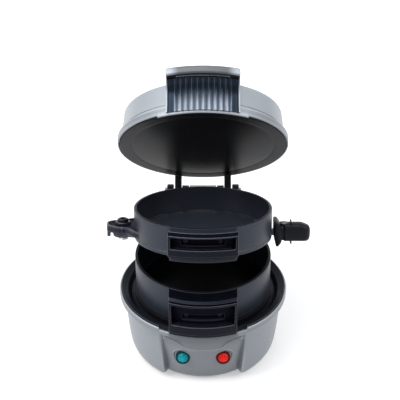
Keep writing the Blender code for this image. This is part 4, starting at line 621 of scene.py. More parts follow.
# The collars' dark tints also paint the shaded rims of the lenses.
GREEN_RIM = finish(
    "green_rim", (0.0, 0.045, 0.06), (0.0, 0.06, 0.075), (0.24, 0.3), 0.0, 600.0, 0.02, gloss=0.15,
    tint=(0.5, 0.95, 1.0),
)
RED_RIM = finish(
    "red_rim", (0.10, 0.003, 0.003), (0.13, 0.005, 0.004), (0.24, 0.3), 0.0, 600.0, 0.02, gloss=0.15,
    tint=(1.0, 0.5, 0.5),
)
AMBER = finish("lamp_glass", (0.6, 0.3, 0.12), (0.7, 0.36, 0.16), (0.1, 0.16), 0.0, 600.0, 0.02)
RUBBER = finish("foot_rubber", (0.018, 0.018, 0.019), (0.026, 0.026, 0.027), (0.7, 0.82), 0.0, 1600.0, 0.1)
PALE = finish("pale_ceramic", (0.68, 0.65, 0.58), (0.78, 0.75, 0.68), (0.5, 0.65), 0.0, 1200.0, 0.08)

SLOT_FINISH = {
    "silver_shell": SILVER,
    "black_trim": BLACK,
    "coated_ring": COATED,
    "coated_plate": INSIDE,
    "black_handle": BLACK,
    "dark_insert": RIBBED,
    "dark_fixing": DARK_STEEL,
    "steel": STEEL,
    "green_lens": GREEN,
    "red_lens": RED,
    "amber_lamp": AMBER,
    "rubber_feet": RUBBER,
    "pale_ceramic": PALE,
}
for part in frame["record"]["subparts"]:
    shown = frame["nodes"][part["node"]]
    for seat in shown.material_slots:
        seat.material = SLOT_FINISH[part["material_slot"]]


# Base

FOOT_RADIUS, FOOT_HEIGHT = 48.0, 2.0
WALL_HEIGHTS = (FOOT_HEIGHT, 3.3, 6.2, 11.5, 21.0, 33.0, 45.0, 52.0)
BODY_RADII = (55.4, 57.9, 60.2, 62.5, 64.0, 65.0, 66.0, 66.6)
PANEL_RADII = (49.9, 51.6, 53.8, 55.6, 58.4, 61.0, 63.4, 65.2)
WALL = 2.0
LEDGE_RADIUS, LEDGE_LOW, LEDGE_HIGH = 44.5, 4.2, 5.8
NECK_RADIUS, NECK_HEIGHT = 66.8, 56.4
FLANGE_LOW, FLANGE_HIGH, FLANGE_INNER, FLANGE_ROUND = 57.0, 62.4, 69.8, 0.7
SEAT_HEIGHT = 58.9
FRONT_DROP = 1.7
NOTCH_HALVES, NOTCH_DEPTH, PANEL_HALVES, FLANGE_HALF = (34.6, 36.6), 0.8, (29.3, 33.5), 35.4

RECESS_LOW, RECESS_HIGH, RECESS_HALF = 17.0, 37.8, 24.0
RECESS_CORNER, RECESS_DEPTH, RECESS_SOFT = 7.0, 1.6, 0.8
RECESS_BEAD, RECESS_BEAD_X, RECESS_BEAD_Z = (0.6, 0.9, 0.6), 15.0, 30.0
SCOOP_X = (0.0, 13.0, 16.0, 17.8, 19.2, 21.1, 23.7, 27.1, 30.4, 34.0)
SCOOP_Z = (39.9, 40.2, 41.3, 43.3, 45.3, 46.6, 47.3, 47.6, 47.9, 48.0)
SCOOP_DEPTH, SCOOP_SOFT, SCOOP_FADE = 1.1, 1.6, 4.0
SCOOP_BEAD, SCOOP_BEAD_X, SCOOP_BEAD_FADE = (0.45, -0.3, 0.7), 14.0, 6.0


def panel_edges(height):
    """The half widths of the round wall's end and of the front panel, both wider towards the top."""
    span = (FOOT_HEIGHT, FLANGE_LOW)
    panel = np.where(height >= FLANGE_LOW, FLANGE_HALF, np.interp(height, span, PANEL_HALVES))
    return np.interp(height, span, NOTCH_HALVES), panel


def recess_floor(z):
    """The recess's floor: a straight line from the panel at its foot to the full depth at its top."""
    low, high = np.interp((RECESS_LOW, RECESS_HIGH), WALL_HEIGHTS, PANEL_RADII) - [0, RECESS_DEPTH]
    return low + (high - low) * (z - RECESS_LOW) / (RECESS_HIGH - RECESS_LOW)


def panel_dent(x, z, radius):
    """The front panel's hollows. The lamps' recess: inside its rounded outline the panel drops to a
    floor that deepens upwards, with a low bead round its upper corners. The scoop under the grip: above
    a line of two bends the panel lies deeper, and its edge stands up as a low bead at both sides."""
    across = np.abs(x)
    middle, half = (RECESS_LOW + RECESS_HIGH) / 2, (RECESS_HIGH - RECESS_LOW) / 2
    beyond = box_distance(x, z - middle, RECESS_HALF, half, RECESS_CORNER)
    drop = ease(0.5 - beyond / RECESS_SOFT) * np.maximum(radius - recess_floor(z), 0)
    above = z - np.interp(across, SCOOP_X, SCOOP_Z)
    scoop = SCOOP_DEPTH * ease(above / SCOOP_SOFT) * ease((SCOOP_X[-1] - across) / SCOOP_FADE)
    beads = bead(above, *SCOOP_BEAD) * ease((across - SCOOP_BEAD_X) / SCOOP_BEAD_FADE)
    corners = ease((across - RECESS_BEAD_X) / SCOOP_FADE) * ease((z - RECESS_BEAD_Z) / SCOOP_FADE)
    beads = beads + bead(beyond, *RECESS_BEAD) * corners
    outside = radius > np.interp(z, WALL_HEIGHTS, PANEL_RADII) - WALL / 2
    shown = outside & (z > FOOT_HEIGHT + 1) & (z < NECK_HEIGHT + 0.2)
    return radius - np.where(shown, drop + scoop - beads, 0)


def make_housing():
    """The drum: from the foot up its wall and round the rolled flange, then down the inner wall."""
    wall = [(r, z, front, z) for r, front, z in zip(BODY_RADII, PANEL_RADII, WALL_HEIGHTS)]
    outer = [lowered(FOOT_RADIUS, FOOT_HEIGHT)] + wall
    outer += [lowered(NECK_RADIUS, NECK_HEIGHT), lowered(RIM_RADIUS, FLANGE_LOW)]
    outer += [lowered(RIM_RADIUS, FLANGE_HIGH - FLANGE_ROUND, FRONT_DROP)]
    outer += [lowered(r, FLANGE_HIGH, FRONT_DROP) for r in (RIM_RADIUS - FLANGE_ROUND, FLANGE_INNER)]
    outer += [lowered(FLANGE_INNER, SEAT_HEIGHT)]
    reach = [0, 0.8] + [FULL] * 6 + [1.6, 1.2, 0.7, 0.5, 0.4, 0.2, 0]
    outer = divide(soften(outer, reach, closed=False), 0.5, closed=False)
    inner = [lowered(NECK_RADIUS - WALL, SEAT_HEIGHT)]
    inner += [(r - WALL, z, front - WALL, z) for r, z, front, _ in wall[:2:-1]]
    inner += [(BODY_RADII[2] - WALL, LEDGE_HIGH, PANEL_RADII[2] - WALL, LEDGE_HIGH)]
    ledge = ((LEDGE_RADIUS, LEDGE_HIGH), (LEDGE_RADIUS, LEDGE_LOW), (FOOT_RADIUS, LEDGE_LOW))
    inner += [lowered(r, z) for r, z in ledge]
    rows = np.concatenate([outer, inner])
    points, faces = rimmed(rows, panel_edges, 120, 9, 132, panel_dent, NOTCH_DEPTH)
    drum = (points, faces, housing_shade(*points.T))
    piece("housing", "base", [drum], SILVER, ["base_housing"])


PANEL_SHADE, PANEL_SHADE_MORE, SIDE_SHADE, COVER_SHADE = 0.15, 0.3, 0.2, 0.5
PANEL_SHADE_HALF, COVER_SHADE_HALF, SHADE_FADE = 33.0, 30.0, 3.0
COVER_SHADE_LOW, SIDE_FADE, SIDE_RADIUS = 55.5, 0.6, RIM_RADIUS - 0.6


def housing_shade(x, y, z):
    """Darker paint where little light falls: the panel, more so upwards, the flange's side, and under
    the grip."""
    across, front = np.abs(x), y < 0
    panel = front * ease((PANEL_SHADE_HALF - across) / SHADE_FADE) * (z < FLANGE_LOW - 0.2)
    panel = panel * (PANEL_SHADE + PANEL_SHADE_MORE * ease((z - 38.0) / 16.0))
    side = ease((z - 57.2) / SIDE_FADE) * ease((61.6 - z) / SIDE_FADE) * (np.hypot(x, y) > SIDE_RADIUS)
    covered = front * ease((COVER_SHADE_HALF - across) / SHADE_FADE) * (z > COVER_SHADE_LOW)
    return np.max([panel, SIDE_SHADE * side, COVER_SHADE * covered], axis=0)


MOAT_RADIUS, MOAT_DEPTH, MOAT_STEPS = 60.2, 5.8, 14
BAND_RADIUS, BAND_DIP = 64.6, 1.9
BEZEL_INNER, BEZEL_OUTER, BEZEL_SEAT = 54.0, 69.2, 64.2
BEZEL_DEPTH, SHELF_RADIUS, SHELF_DEPTH = 8.0, 59.1, 6.1


def make_base_bezel():
    """The dark ring inside the rim: beside the heating plate a moat, whose floor eases up as
    3 u^2 - 2 u^3, then a band that falls inwards and a lip, all lower over the front."""
    u = np.linspace(0, 1, MOAT_STEPS)
    radii = MOAT_RADIUS + (BAND_RADIUS - MOAT_RADIUS) * u
    heights = BASE_TOP - MOAT_DEPTH + (MOAT_DEPTH - BAND_DIP) * ease(u)
    low, shelf, seat = BASE_TOP - BEZEL_DEPTH, BASE_TOP - SHELF_DEPTH, SEAT_HEIGHT + GAP
    rows = [lowered(BEZEL_INNER, low), lowered(BEZEL_INNER, shelf), lowered(SHELF_RADIUS, shelf)]
    rows += [lowered(r, z) for r, z in zip(radii, heights)]
    rows += [lowered(67.6, 62.4, 1.5), lowered(68.5, 62.7, 1.7), lowered(68.7, 63.3, 2.3)]
    rows += [lowered(BEZEL_OUTER, 63.3, 2.3), lowered(BEZEL_OUTER, seat), lowered(BEZEL_SEAT, seat)]
    rows += [lowered(BEZEL_SEAT, seat - 1.0), lowered(MOAT_RADIUS, low)]
    reach = [0.3] * 3 + [FULL] * MOAT_STEPS + [2.0, 0.3, 0.15, 0.25, 0.2, 0.2, 0.2, 0.3]
    points, faces = rimmed(soften(rows, reach, 3), even_edges(NOTCH_HALVES[1], 36.0), 48, 2, 132)
    # painted highlight on proud edges only beyond radius 66, on the lip
    edge_highlight = (radial(points) > 66.0) * 1.0
    piece("base_rim", "base", [(points, faces, 0.0, edge_highlight)], GLOSS, ["base_bezel"])


HEATER_THICK, HEATER_SKIRT, SKIRT_RADIUS = 3.0, 5.5, 56.0


def heater(face, up, radius, edge):
    """A heating plate with a rounded edge and a turned skirt; up is the way its face looks, 1 or -1."""
    back, foot = face - up * HEATER_THICK, face - up * HEATER_SKIRT
    corners = [(0, face, 0), (30.0, face, 1), (radius, face, edge), (radius, foot, 0.3)]
    corners += [(SKIRT_RADIUS, foot, 0.3), (SKIRT_RADIUS, back, 0.3), (0, back, 0)]
    return turned(rounded(corners, 3))


LAMP_RADIUS, LAMP_HEIGHT, LAMP_X = 59.33, 29.1, 16.7
LAMP_TURN, LAMP_TILT = 0.2, math.radians(10.0)
LENS_RADIUS, LENS_BACK, LENS_EDGE = 4.3, 0.2, 2.1
COLLAR_INNER, COLLAR_OUTER, COLLAR_BACK = 4.4, 6.0, -3.2
TABLE_HEIGHT, CROWN_SLOPE, CROWN_START, GIRDLE_START = 2.2, 0.55, 0.3, 0.7


def jewel():
    """A cut lens: over a disc, the lowest of a flat table and two rings of eight facets, the steeper
    ring half a facet further round. Painted shade darkens it towards its rim and along the facets' edges."""
    facet = np.pi / 4
    share, angle = disc(25, 96)
    crown = share * np.cos((angle + facet / 2) % facet - facet / 2)
    girdle = share * np.cos(angle % facet - facet / 2)
    shoulder = TABLE_HEIGHT - CROWN_SLOPE * LENS_RADIUS * (crown - CROWN_START)
    skirt = TABLE_HEIGHT - CROWN_SLOPE * LENS_RADIUS * (GIRDLE_START - CROWN_START)
    skirt = skirt - LENS_RADIUS * (girdle - GIRDLE_START)
    dome = LENS_EDGE + np.clip(np.minimum(shoulder, skirt), 0, TABLE_HEIGHT)
    x, y = LENS_RADIUS * share * np.cos(angle), LENS_RADIUS * share * np.sin(angle)
    points, faces = closed_disc(x, y, dome, LENS_BACK)
    # painted shade: darker towards the rim and along the crown facets' edges
    shade = 0.9 * share**4 + 0.65 * np.sin(4 * angle) ** 2 * (share > CROWN_START) * (1 - share**4)
    return points, faces, np.concatenate([shade, shade[-1:] * 0 + 1, shade[-1:] * 0 + 1]).reshape(-1)


def make_lamps():
    """Each indicator: a collar, whose dark tint also paints the shaded rim of its lens, and a cut lens in the
    recess floor.
    """
    for side, label, colour, rim in ((-1, "green", GREEN, GREEN_RIM), (1, "red", RED, RED_RIM)):
        x = side * LAMP_X
        place = np.array([x, -math.sqrt(LAMP_RADIUS**2 - x**2), LAMP_HEIGHT])
        turn = math.asin(x / LAMP_RADIUS) * LAMP_TURN
        level = math.cos(LAMP_TILT)
        out = (math.sin(turn) * level, -math.cos(turn) * level, math.sin(LAMP_TILT))
        profile = box(COLLAR_INNER, COLLAR_OUTER, COLLAR_BACK, LENS_EDGE)
        collar = aimed(turned(soften(profile, [0.1, 0.1, 0.45, 0.3]), columns=72), place, out)
        piece(label + "_collar", "base", [collar], rim, [label + "_lens_ring"])
        points, faces, shade = jewel()
        lens = (*aimed((points, faces), place, out), shade)
        piece(label + "_jewel", "base", [lens], colour, [label + "_lens"], 12.0)


TOWER_FRONT, TOWER_BACK, TOWER_HALF = 65.5, 84.0, 32.0
TOWER_LOW, TOWER_HIGH, TOWER_SHELF = 20.0, 88.0, 61.8
CHEEK_X, CHEEK_HALF, CHEEK_RADIUS = 29.0, 3.0, 7.0
WEB_FRONT = TOWER_BACK - 3.5
PIN_RADIUS, PIN_HALF, PIN_CAP_RADIUS, PIN_CAP_RISE = 2.5, TOWER_HALF + GAP, 4.2, 2.0
BACK_SCREW_X, BACK_SCREW_RADIUS, BACK_SCREW_RISE = 10.0, 2.8, 1.3


def make_tower():
    """The hinge tower: a web up the back of the base and two cheeks round the pin."""
    back, front = TOWER_BACK, WEB_FRONT
    foot = [(TOWER_FRONT, TOWER_LOW), (back - 4.0, TOWER_LOW), (back, TOWER_LOW + 8.0), (back, TOWER_HIGH)]
    foot += [(front, TOWER_HIGH), (front, TOWER_SHELF), (TOWER_FRONT, TOWER_SHELF)]
    web = slab(soften(foot, 2.0), -TOWER_HALF, TOWER_HALF, "x", 0.9)
    root = [(TOWER_FRONT + 5.0, TOWER_SHELF - 4.0), (back, TOWER_SHELF - 4.0), (back, TOWER_HIGH)]
    cheeks = slab_pair(eye(CHEEK_RADIUS, root), CHEEK_X, CHEEK_HALF, 0.9)
    piece("tower", "base", [web] + cheeks, BLACK, ["hinge_tower"])
    cap = [(0, 0, 0), (PIN_CAP_RADIUS, 0, 0.1), (PIN_CAP_RADIUS, PIN_CAP_RISE - 0.6, 0.5)]
    cap += [(PIN_CAP_RADIUS - 1.0, PIN_CAP_RISE, 0.6), (0, PIN_CAP_RISE, 0)]
    cap = turned(rounded(cap), columns=48)
    shaft = aimed(turned(box(0, PIN_RADIUS, 0, 2 * PIN_HALF), columns=32), PIN - [PIN_HALF, 0, 0], (1, 0, 0))
    for side, label, node, more in ((-1, "left", "hinge_pin", [shaft]), (1, "right", "hinge_pin_clip", [])):
        end = aimed(cap, PIN + [side * PIN_HALF, 0, 0], (side, 0, 0))
        piece("pin_end_" + label, "base", [end] + more, STEEL, [node])
    back_screws("tower", "base", TOWER_BACK, 41.5)


def back_screws(name, body, face, height):
    """The two cross screws in the back of the tower or the bracket, a little proud of its face."""
    for k, side in enumerate((-1, 1), 1):
        place = (side * BACK_SCREW_X, face + GAP / 2, height)
        head = aimed(cross_screw(BACK_SCREW_RADIUS, BACK_SCREW_RISE), place, (0, 1, 0))
        piece("%s_bolt_%d" % (name, k), body, [head], STEEL, ["%s_screw_%d" % (name, k)])


GLAND_HEIGHT, GLAND_BORE, GLAND_NECK, GLAND_COLLAR = 12.0, 3.2, 4.4, 5.5
GLAND_INSIDE, GLAND_LENGTH = -4.0, 9.9
FIN_COUNT, FIN_START, FIN_PITCH, FIN_FOOT, FIN_RADIUS = 4, 3.4, 1.6, 4.0, 4.7


def make_gland():
    """The ribbed bush where a mains lead would leave the base, open down its middle."""
    radius = float(np.interp(GLAND_HEIGHT, WALL_HEIGHTS, BODY_RADII))
    profile = [(GLAND_BORE, GLAND_INSIDE), (GLAND_NECK, GLAND_INSIDE), (GLAND_NECK, 0.0)]
    profile += [(GLAND_COLLAR, 0.6), (GLAND_COLLAR, 2.6)]
    for k in range(FIN_COUNT):
        z, crest = FIN_START + FIN_PITCH * k, FIN_RADIUS - 0.1 * k
        profile += [(FIN_FOOT, z - 0.5), (FIN_FOOT, z), (crest, z + 0.3), (crest, z + 0.8)]
    profile += [(FIN_FOOT + 0.2, GLAND_LENGTH), (GLAND_BORE, GLAND_LENGTH)]
    tube = aimed(turned(soften(profile, 0.25, 3), columns=56), (0, radius, GLAND_HEIGHT), (0, 1, 0))
    piece("lead_bush", "base", [tube], RUBBER, ["cord_gland"])


def make_base():
    """The base's pieces, with the lower heating plate just below its rim."""
    make_housing()
    make_base_bezel()
    plate = heater(BASE_TOP - GAP, 1, 58.5, 0.2)
    piece("lower_heater", "base", [plate], INSIDE, ["lower_heating_plate"])
    make_lamps()
    make_tower()
    make_gland()


# Rings

RING_INNER = 54.5
LINE_HEIGHT = 1.9
RIM_PAINTED_SHADE = 0.7
KNUCKLE_RADIUS = 6.0
GRIP_HALF, GRIP_SIDE, GRIP_WINDOW_HALF = 27.4, 0.7, 25.4
GRIP_BACK, GRIP_FLOOR, GRIP_FACE, GRIP_LIP = RING_RADIUS + GAP, 63.0, 72.6, 73.8
WELL_FACE, WELL_THICK = 66.8, 3.5
SLOT_HALF, SLOT_DEPTH, SLOT_LIP = 16.8, 3.0, (0.25, 0.0, 0.35)
SLOT_SCREW_X, SLOT_SCREW_SEAT, SLOT_SCREW_RADIUS, SLOT_SCREW_RISE = 13.6, 63.8, 1.8, 0.9


def ring_wall(low, high):
    """A plain ring with a fine turned line below its upper edge, which painted shade darkens and which gets
    no painted highlight.
    """
    r, line = RING_RADIUS, high - LINE_HEIGHT
    corners = [(RING_INNER, low, 0.4), (r, low, 0.6), (r, line - 0.7, 0.1), (r - 0.2, line - 0.5, 0.1)]
    corners += [(r - 0.2, line - 0.2, 0.1), (r, line, 0.1), (r, high, 0.7), (RING_INNER, high, 0.5)]
    points, faces = turned(rounded(corners))
    # painted shade on the upper edge, and no painted highlight there
    rim = ease((points[:, 2] - high + 0.75) / 0.35)
    return points, faces, RIM_PAINTED_SHADE * rim, 1 - rim


def grip_outline(foot, foot_inner, foot_outer, lip_low, shelf, upper):
    """A grip's outline from its foot round the lip and its shelf, then upper; each corner with its reach."""
    corners = [(foot_inner, foot, 0), (foot_outer, foot, 0.5), (foot_outer, lip_low, 0.15)]
    corners += [(GRIP_LIP, lip_low, 0.4), (GRIP_LIP, shelf - 0.5, 0.4)]
    corners += [(GRIP_LIP - 0.5, shelf, 0.3), (GRIP_FACE, shelf, 0.15)]
    return divide(rounded(corners + upper, 3, closed=False), 0.3, closed=False)


def grip_block(rows, window):
    """A boxed ring handle, whose face drops inside its window to a floor behind the well."""
    (low, high), half = window, GRIP_WINDOW_HALF

    def shape(x, z, radius):
        inside = ease(0.5 - box_distance(x, z - (low + high) / 2, half, (high - low) / 2, 0.6) / 0.35)
        face = radius - inside * np.maximum(radius - GRIP_FLOOR, 0)
        side = np.clip((np.abs(x) - GRIP_HALF) / GRIP_SIDE + 1, 0, 1)
        return face - GRIP_SIDE * (1 - np.sqrt(1 - side**2))

    return relief(rows, marks(GRIP_HALF, (half, GRIP_HALF - GAP)), GRIP_BACK, shape)


def grip_well(name, body, window, slot):
    """The dark panel in a handle's window: a round face with a slot between the two screws."""
    (low, high), (slot_z, slot_half) = window, slot

    def shape(x, z, radius):
        cut = ease(0.5 - box_distance(x, z - slot_z, SLOT_HALF, slot_half, 0.5) / 0.3)
        lip = bead(box_distance(x, z - slot_z, SLOT_HALF + 0.5, slot_half + 0.5, 0.8), *SLOT_LIP)
        return radius - SLOT_DEPTH * cut + lip

    rows = divide(np.array([(WELL_FACE, low + 0.1), (WELL_FACE, high - 0.1)]), 0.3, closed=False)
    places = marks(GRIP_WINDOW_HALF - 0.2, (SLOT_HALF,))
    piece(name, body, [relief(rows, places, WELL_FACE - WELL_THICK, shape)], WELL)


RIDGE_WIDTH, RIDGE_RISE, RIDGE_FOOT = 0.5, 0.35, 0.2


def ridge(radius, height, half):
    """A low thin rib round the front on a flat shelf."""
    profile = soften(box(radius, radius + RIDGE_WIDTH, height - RIDGE_FOOT, height + RIDGE_RISE), 0.18, 3)
    return arc(profile, half, 0.2, 40)


def slot_screws(name, height, body):
    """The two cross screws of a ring's grip, in line with the slot."""
    for k, side in enumerate((-1, 1), 1):
        x = side * SLOT_SCREW_X
        out = Vector((x, -math.sqrt(SLOT_SCREW_SEAT**2 - x**2), 0.0)).normalized()
        place = np.array(out) * (SLOT_SCREW_SEAT + 0.4) + [0, 0, height]
        head = aimed(cross_screw(SLOT_SCREW_RADIUS, SLOT_SCREW_RISE), place, out)
        piece("%s_bolt_%d" % (name, k), body, [head], GRIP, ["%s_screw_%d" % (name, k)])


ARM_X, ARM_HALF, ARM_ROOT, ARM_LOW, ARM_HIGH = 15.5, 3.0, 53.1, 78.5, 91.0
LOWER_FOOT, LOWER_SHELF, LOWER_SLOT = 61.2, 71.7, (77.35, 2.8)


def make_bottom_ring():
    """The bottom ring with its two arms, and its grip: rails, a window with a dark well, two lines."""
    root = [(ARM_ROOT, ARM_LOW), (ARM_ROOT + 6.0, ARM_LOW), (ARM_ROOT, ARM_HIGH)]
    ring = [ring_wall(BOTTOM_LOW, BOTTOM_HIGH)] + slab_pair(eye(KNUCKLE_RADIUS, root), ARM_X, ARM_HALF, 0.6)
    piece("lower_ring", "bottom_leaf", ring, COATED, ["bottom_ring"])
    top, rail = BOTTOM_HIGH, BOTTOM_HIGH - 2.1
    upper = [(GRIP_FACE, rail, 0.3), (71.7, rail, 0.2), (71.7, rail - 1.4, 0.1), (70.3, rail - 1.4, 0.1)]
    upper += [(70.3, rail + 0.5, 0.25), (68.0, top, 0.6), (GRIP_BACK, top, 0)]
    rows = grip_outline(LOWER_FOOT, 60.4, 72.4, LOWER_FOOT + 3.0, LOWER_SHELF, upper)
    window = (LOWER_SHELF, BOTTOM_HIGH - 4.3)
    filler = arc(box(GRIP_BACK, 61.0, BOTTOM_LOW + 0.4, BOTTOM_HIGH - GAP), 27.0, 0.2, 30)
    lines = [ridge(68.6, LOWER_SHELF, 21.0), ridge(70.6, LOWER_SHELF, 23.0)]
    block = [grip_block(rows, window), filler]
    piece("lower_grip", "bottom_leaf", block, GRIP, ["bottom_ring_handle"])
    piece("lower_grip_lines", "bottom_leaf", lines, WELL)
    grip_well("lower_grip_well", "bottom_leaf", window, LOWER_SLOT)
    slot_screws("bottom_ring_handle", LOWER_SLOT[0], "bottom_leaf")


TOP_ARM_HALF = 12.0
EAR_END, EAR_LOW, EAR_HIGH, EAR_RIM, EAR_RIM_WIDTH = -79.6, 98.7, 103.3, 104.5, 1.5
STOP_LOW, SPACER_LOW = 94.3, 98.0
UPPER_LIP_LOW, UPPER_SHELF, UPPER_SLOT = 101.5, 106.9, (111.4, 2.3)


def ear_outline():
    """The ear's plan, each corner with its reach, its two ends pushed out to the ring's wall."""
    x, y = PIVOT
    corners = [(-52.5, 17.0, 0), (x, y + 8.6, 6.0), (EAR_END + 2.6, y + 5.2, 2.6), (EAR_END, y + 2.6, 2.6)]
    corners += [(EAR_END, y - 5.2, 2.0), (EAR_END + 2.0, y - 7.6, 2.6), (-70.0, -10.6, 4.5)]
    corners += [(-63.2, -10.4, 3.8), (-57.2, -18.8, 3.0), (-48.0, -27.5, 0)]
    ear = rounded(corners, 6)
    away, inner = np.hypot(*ear.T), RING_INNER + 0.8
    return ear * np.maximum(inner / away, 1)[:, None]


def make_top_ring():
    """The top ring with its arm and the ear, a tray with a rim; its grip, and the ear's bolt."""
    root = math.sqrt(RING_RADIUS**2 - TOP_ARM_HALF**2) - 0.8
    arm = eye(KNUCKLE_RADIUS, [(root, TOP_LOW + 2.0), (root, TOP_HIGH - 2.0)])
    arm = slab(arm, -TOP_ARM_HALF, TOP_ARM_HALF, "x")
    ear, y = ear_outline(), PIVOT[1]
    points, faces = band(ear, EAR_RIM_WIDTH, EAR_LOW + 0.8, EAR_RIM)
    # painted highlight only along the rim band's top edges, none on the ear's plate
    rim = (points, faces, 0.0, (points[:, 2] > EAR_RIM - 0.5) * 1.0)
    plate = (*slab(ear, EAR_LOW, EAR_HIGH, "z", 0.5), 0.0, 0.0)
    stop = soften(box(EAR_END + GAP, EAR_END + 3.0, y - 6.2, y - 1.2), 0.6)
    stop = slab(stop, STOP_LOW, EAR_LOW + 0.5, "z", 0.4)
    ring = [ring_wall(TOP_LOW, TOP_HIGH), arm, plate, rim, stop]
    piece("upper_ring", "top_leaf", ring, COATED, ["top_ring"])
    tray = [slab(draw_in(ear, 1.3), EAR_HIGH - 0.4, EAR_HIGH + 0.4, "z", 0.2)]
    tray.append(slab(circle(PIVOT, 6.7, 64), EAR_HIGH - GAP, EAR_HIGH + 1.4, "z", 0.3))
    tray.append(slab(draw_in(ear, EAR_RIM_WIDTH), SPACER_LOW, EAR_LOW + 0.2, "z", 0.1))
    piece("ear_tray", "top_leaf", tray, WELL)
    make_top_grip()
    make_ear_bolt()


def make_top_grip():
    """The top ring's grip: a sloping top rail and a groove behind it, and on the shelf up to the ring a thin
    sheet in the lighter ring coating, a painted light, with some painted shade.
    """
    shelf, rail = 118.7, 118.1
    upper = [(GRIP_FACE, 117.3, 0.4), (69.5, rail, 0.6), (68.4, rail, 0.2), (68.4, rail - 1.1, 0.1)]
    upper += [(67.0, rail - 1.1, 0.1), (67.0, shelf, 0.3), (GRIP_BACK, shelf, 0)]
    rows = grip_outline(TOP_LOW, 60.0, 68.5, UPPER_LIP_LOW, UPPER_SHELF, upper)
    window = (UPPER_SHELF, rail - 2.0)
    block = grip_block(rows, window)
    piece("upper_grip", "top_leaf", [block], GRIP, ["top_ring_handle"])
    piece("upper_grip_line", "top_leaf", [ridge(69.4, UPPER_SHELF, 22.0)], WELL)
    # a lighter sheet on the shelf paints the light falling there; its shade share dims it
    cover = soften(box(GRIP_BACK + GAP, 66.7, shelf - 0.2, shelf + 0.2), 0.15, 3)
    piece("upper_grip_lit_shelf", "top_leaf", [(*arc(cover, 26.8, 0.3, 40), 0.3)], COATED)
    grip_well("upper_grip_well", "top_leaf", window, UPPER_SLOT)
    slot_screws("top_ring_handle", UPPER_SLOT[0], "top_leaf")


WASHER_LOW, WASHER_HIGH, WASHER_RADIUS = 104.8, 105.6, 5.9
BOLT_SHAFT_RADIUS, BOLT_SHAFT_LOW, BOLT_HEAD_RADIUS, BOLT_HEAD_RISE = 2.5, 90.4, 4.6, 2.2
BOLT_SOCKET_RADIUS, BOLT_SOCKET_DEPTH = 2.3, 1.1


def make_ear_bolt():
    """The pivot of the swinging plate: a washer, and a bolt whose head has a round socket."""
    washer = soften(box(BOLT_SHAFT_RADIUS + GAP, WASHER_RADIUS, WASHER_LOW, WASHER_HIGH), 0.2, 3)
    piece("ear_washer", "top_leaf", [turned(washer, PIVOT, 64)], DARK_STEEL, ["pivot_washer"])
    low, top = WASHER_HIGH + GAP, WASHER_HIGH + GAP + BOLT_HEAD_RISE
    floor = top - BOLT_SOCKET_DEPTH
    head = [(0, low, 0), (BOLT_HEAD_RADIUS, low, 0.15), (BOLT_HEAD_RADIUS, top - 0.9, 0.5)]
    head += [(BOLT_HEAD_RADIUS - 0.9, top, 0.5), (BOLT_SOCKET_RADIUS, top, 0.15)]
    head += [(BOLT_SOCKET_RADIUS, floor, 0.1), (0, floor, 0)]
    shaft = turned(box(0, BOLT_SHAFT_RADIUS, BOLT_SHAFT_LOW, low + 0.1), PIVOT, 32)
    bolt = [turned(rounded(head, 3), PIVOT, 64), shaft]
    piece("ear_bolt", "top_leaf", bolt, GRIP, ["pivot_screw"])


# Swinging plate

PLATE_EAR, PLATE_EAR_ROOT, PLATE_BOSS = 8.6, 12.0, 8.3
PLATE_LINE, PLATE_LINE_DEPTH = 53.5, 0.3
TONGUE_RADIUS, TONGUE_HALF, TONGUE_SHADE_RADIUS = 67.2, 26.5, 60.0
TANG_END, TANG_HALF = 72.0, 5.0


def make_cooking_plate():
    """The swing-out plate: a disc with a fine turned groove, its ear, front tongue and handle tang. Painted
    shade darkens the tongue's outer part, more towards its top under the grip.
    """
    low, high = PLATE_LOW, PLATE_HIGH
    face = [(0, low, 0), (RING_RADIUS, low, 0.4), (RING_RADIUS, high, 0.4), (PLATE_LINE + 0.7, high, 0.1)]
    face += [(PLATE_LINE + offset, high - PLATE_LINE_DEPTH, 0.1) for offset in (0.3, -0.3)]
    face += [(PLATE_LINE - 0.7, high, 0.1), (0, high, 0)]
    y = PIVOT[1]
    root = [(-RING_INNER, y - PLATE_EAR_ROOT), (-RING_INNER, y + PLATE_EAR_ROOT)]
    ear = slab(hull(circle(PIVOT, PLATE_EAR, 64), root), low, high, "z", 0.5)
    boss = slab(circle(PIVOT, PLATE_BOSS, 64), low - 1.3, low + 1.0, "z", 0.4)
    tongue = soften(box(RING_INNER, TONGUE_RADIUS, low, high), [0, 0.5, 0.5, 0])
    points, faces = arc(tongue, TONGUE_HALF, 1.2, 44)
    # painted shade on the tongue's outer part, more near its top under the grip, with less painted highlight
    dark = (radial(points) > TONGUE_SHADE_RADIUS) * (0.5 + 0.4 * ease((points[:, 2] - high + 0.8) / 0.6))
    tang = soften(box(RING_INNER, TANG_END, HANDLE_Y - TANG_HALF, HANDLE_Y + TANG_HALF), 1.0)
    parts = [turned(rounded(face, 3)), ear, boss, (points, faces, dark, 0.3), slab(tang, low, high, "z", 0.3)]
    piece("middle_plate", "swing_plate", parts, COATED, ["cooking_plate"])


BAR_START, BAR_ROUND_START, BAR_END_LENGTH = 62.9, 81.0, 8.2
BAR_HALF, BAR_RISE, BAR_FALL = 6.4, 8.2, 7.6
BAR_NECK_END, BAR_NECK_FADE, BAR_NECK = 68.2, 1.6, (0.8, 1.6, 0.7)
BOSS_X, BOSS_RADIUS = 67.0, 3.9
BAR_RIB_X, BAR_RIB_HALF, BAR_RIB_REACH = 73.0, 0.6, 5.0


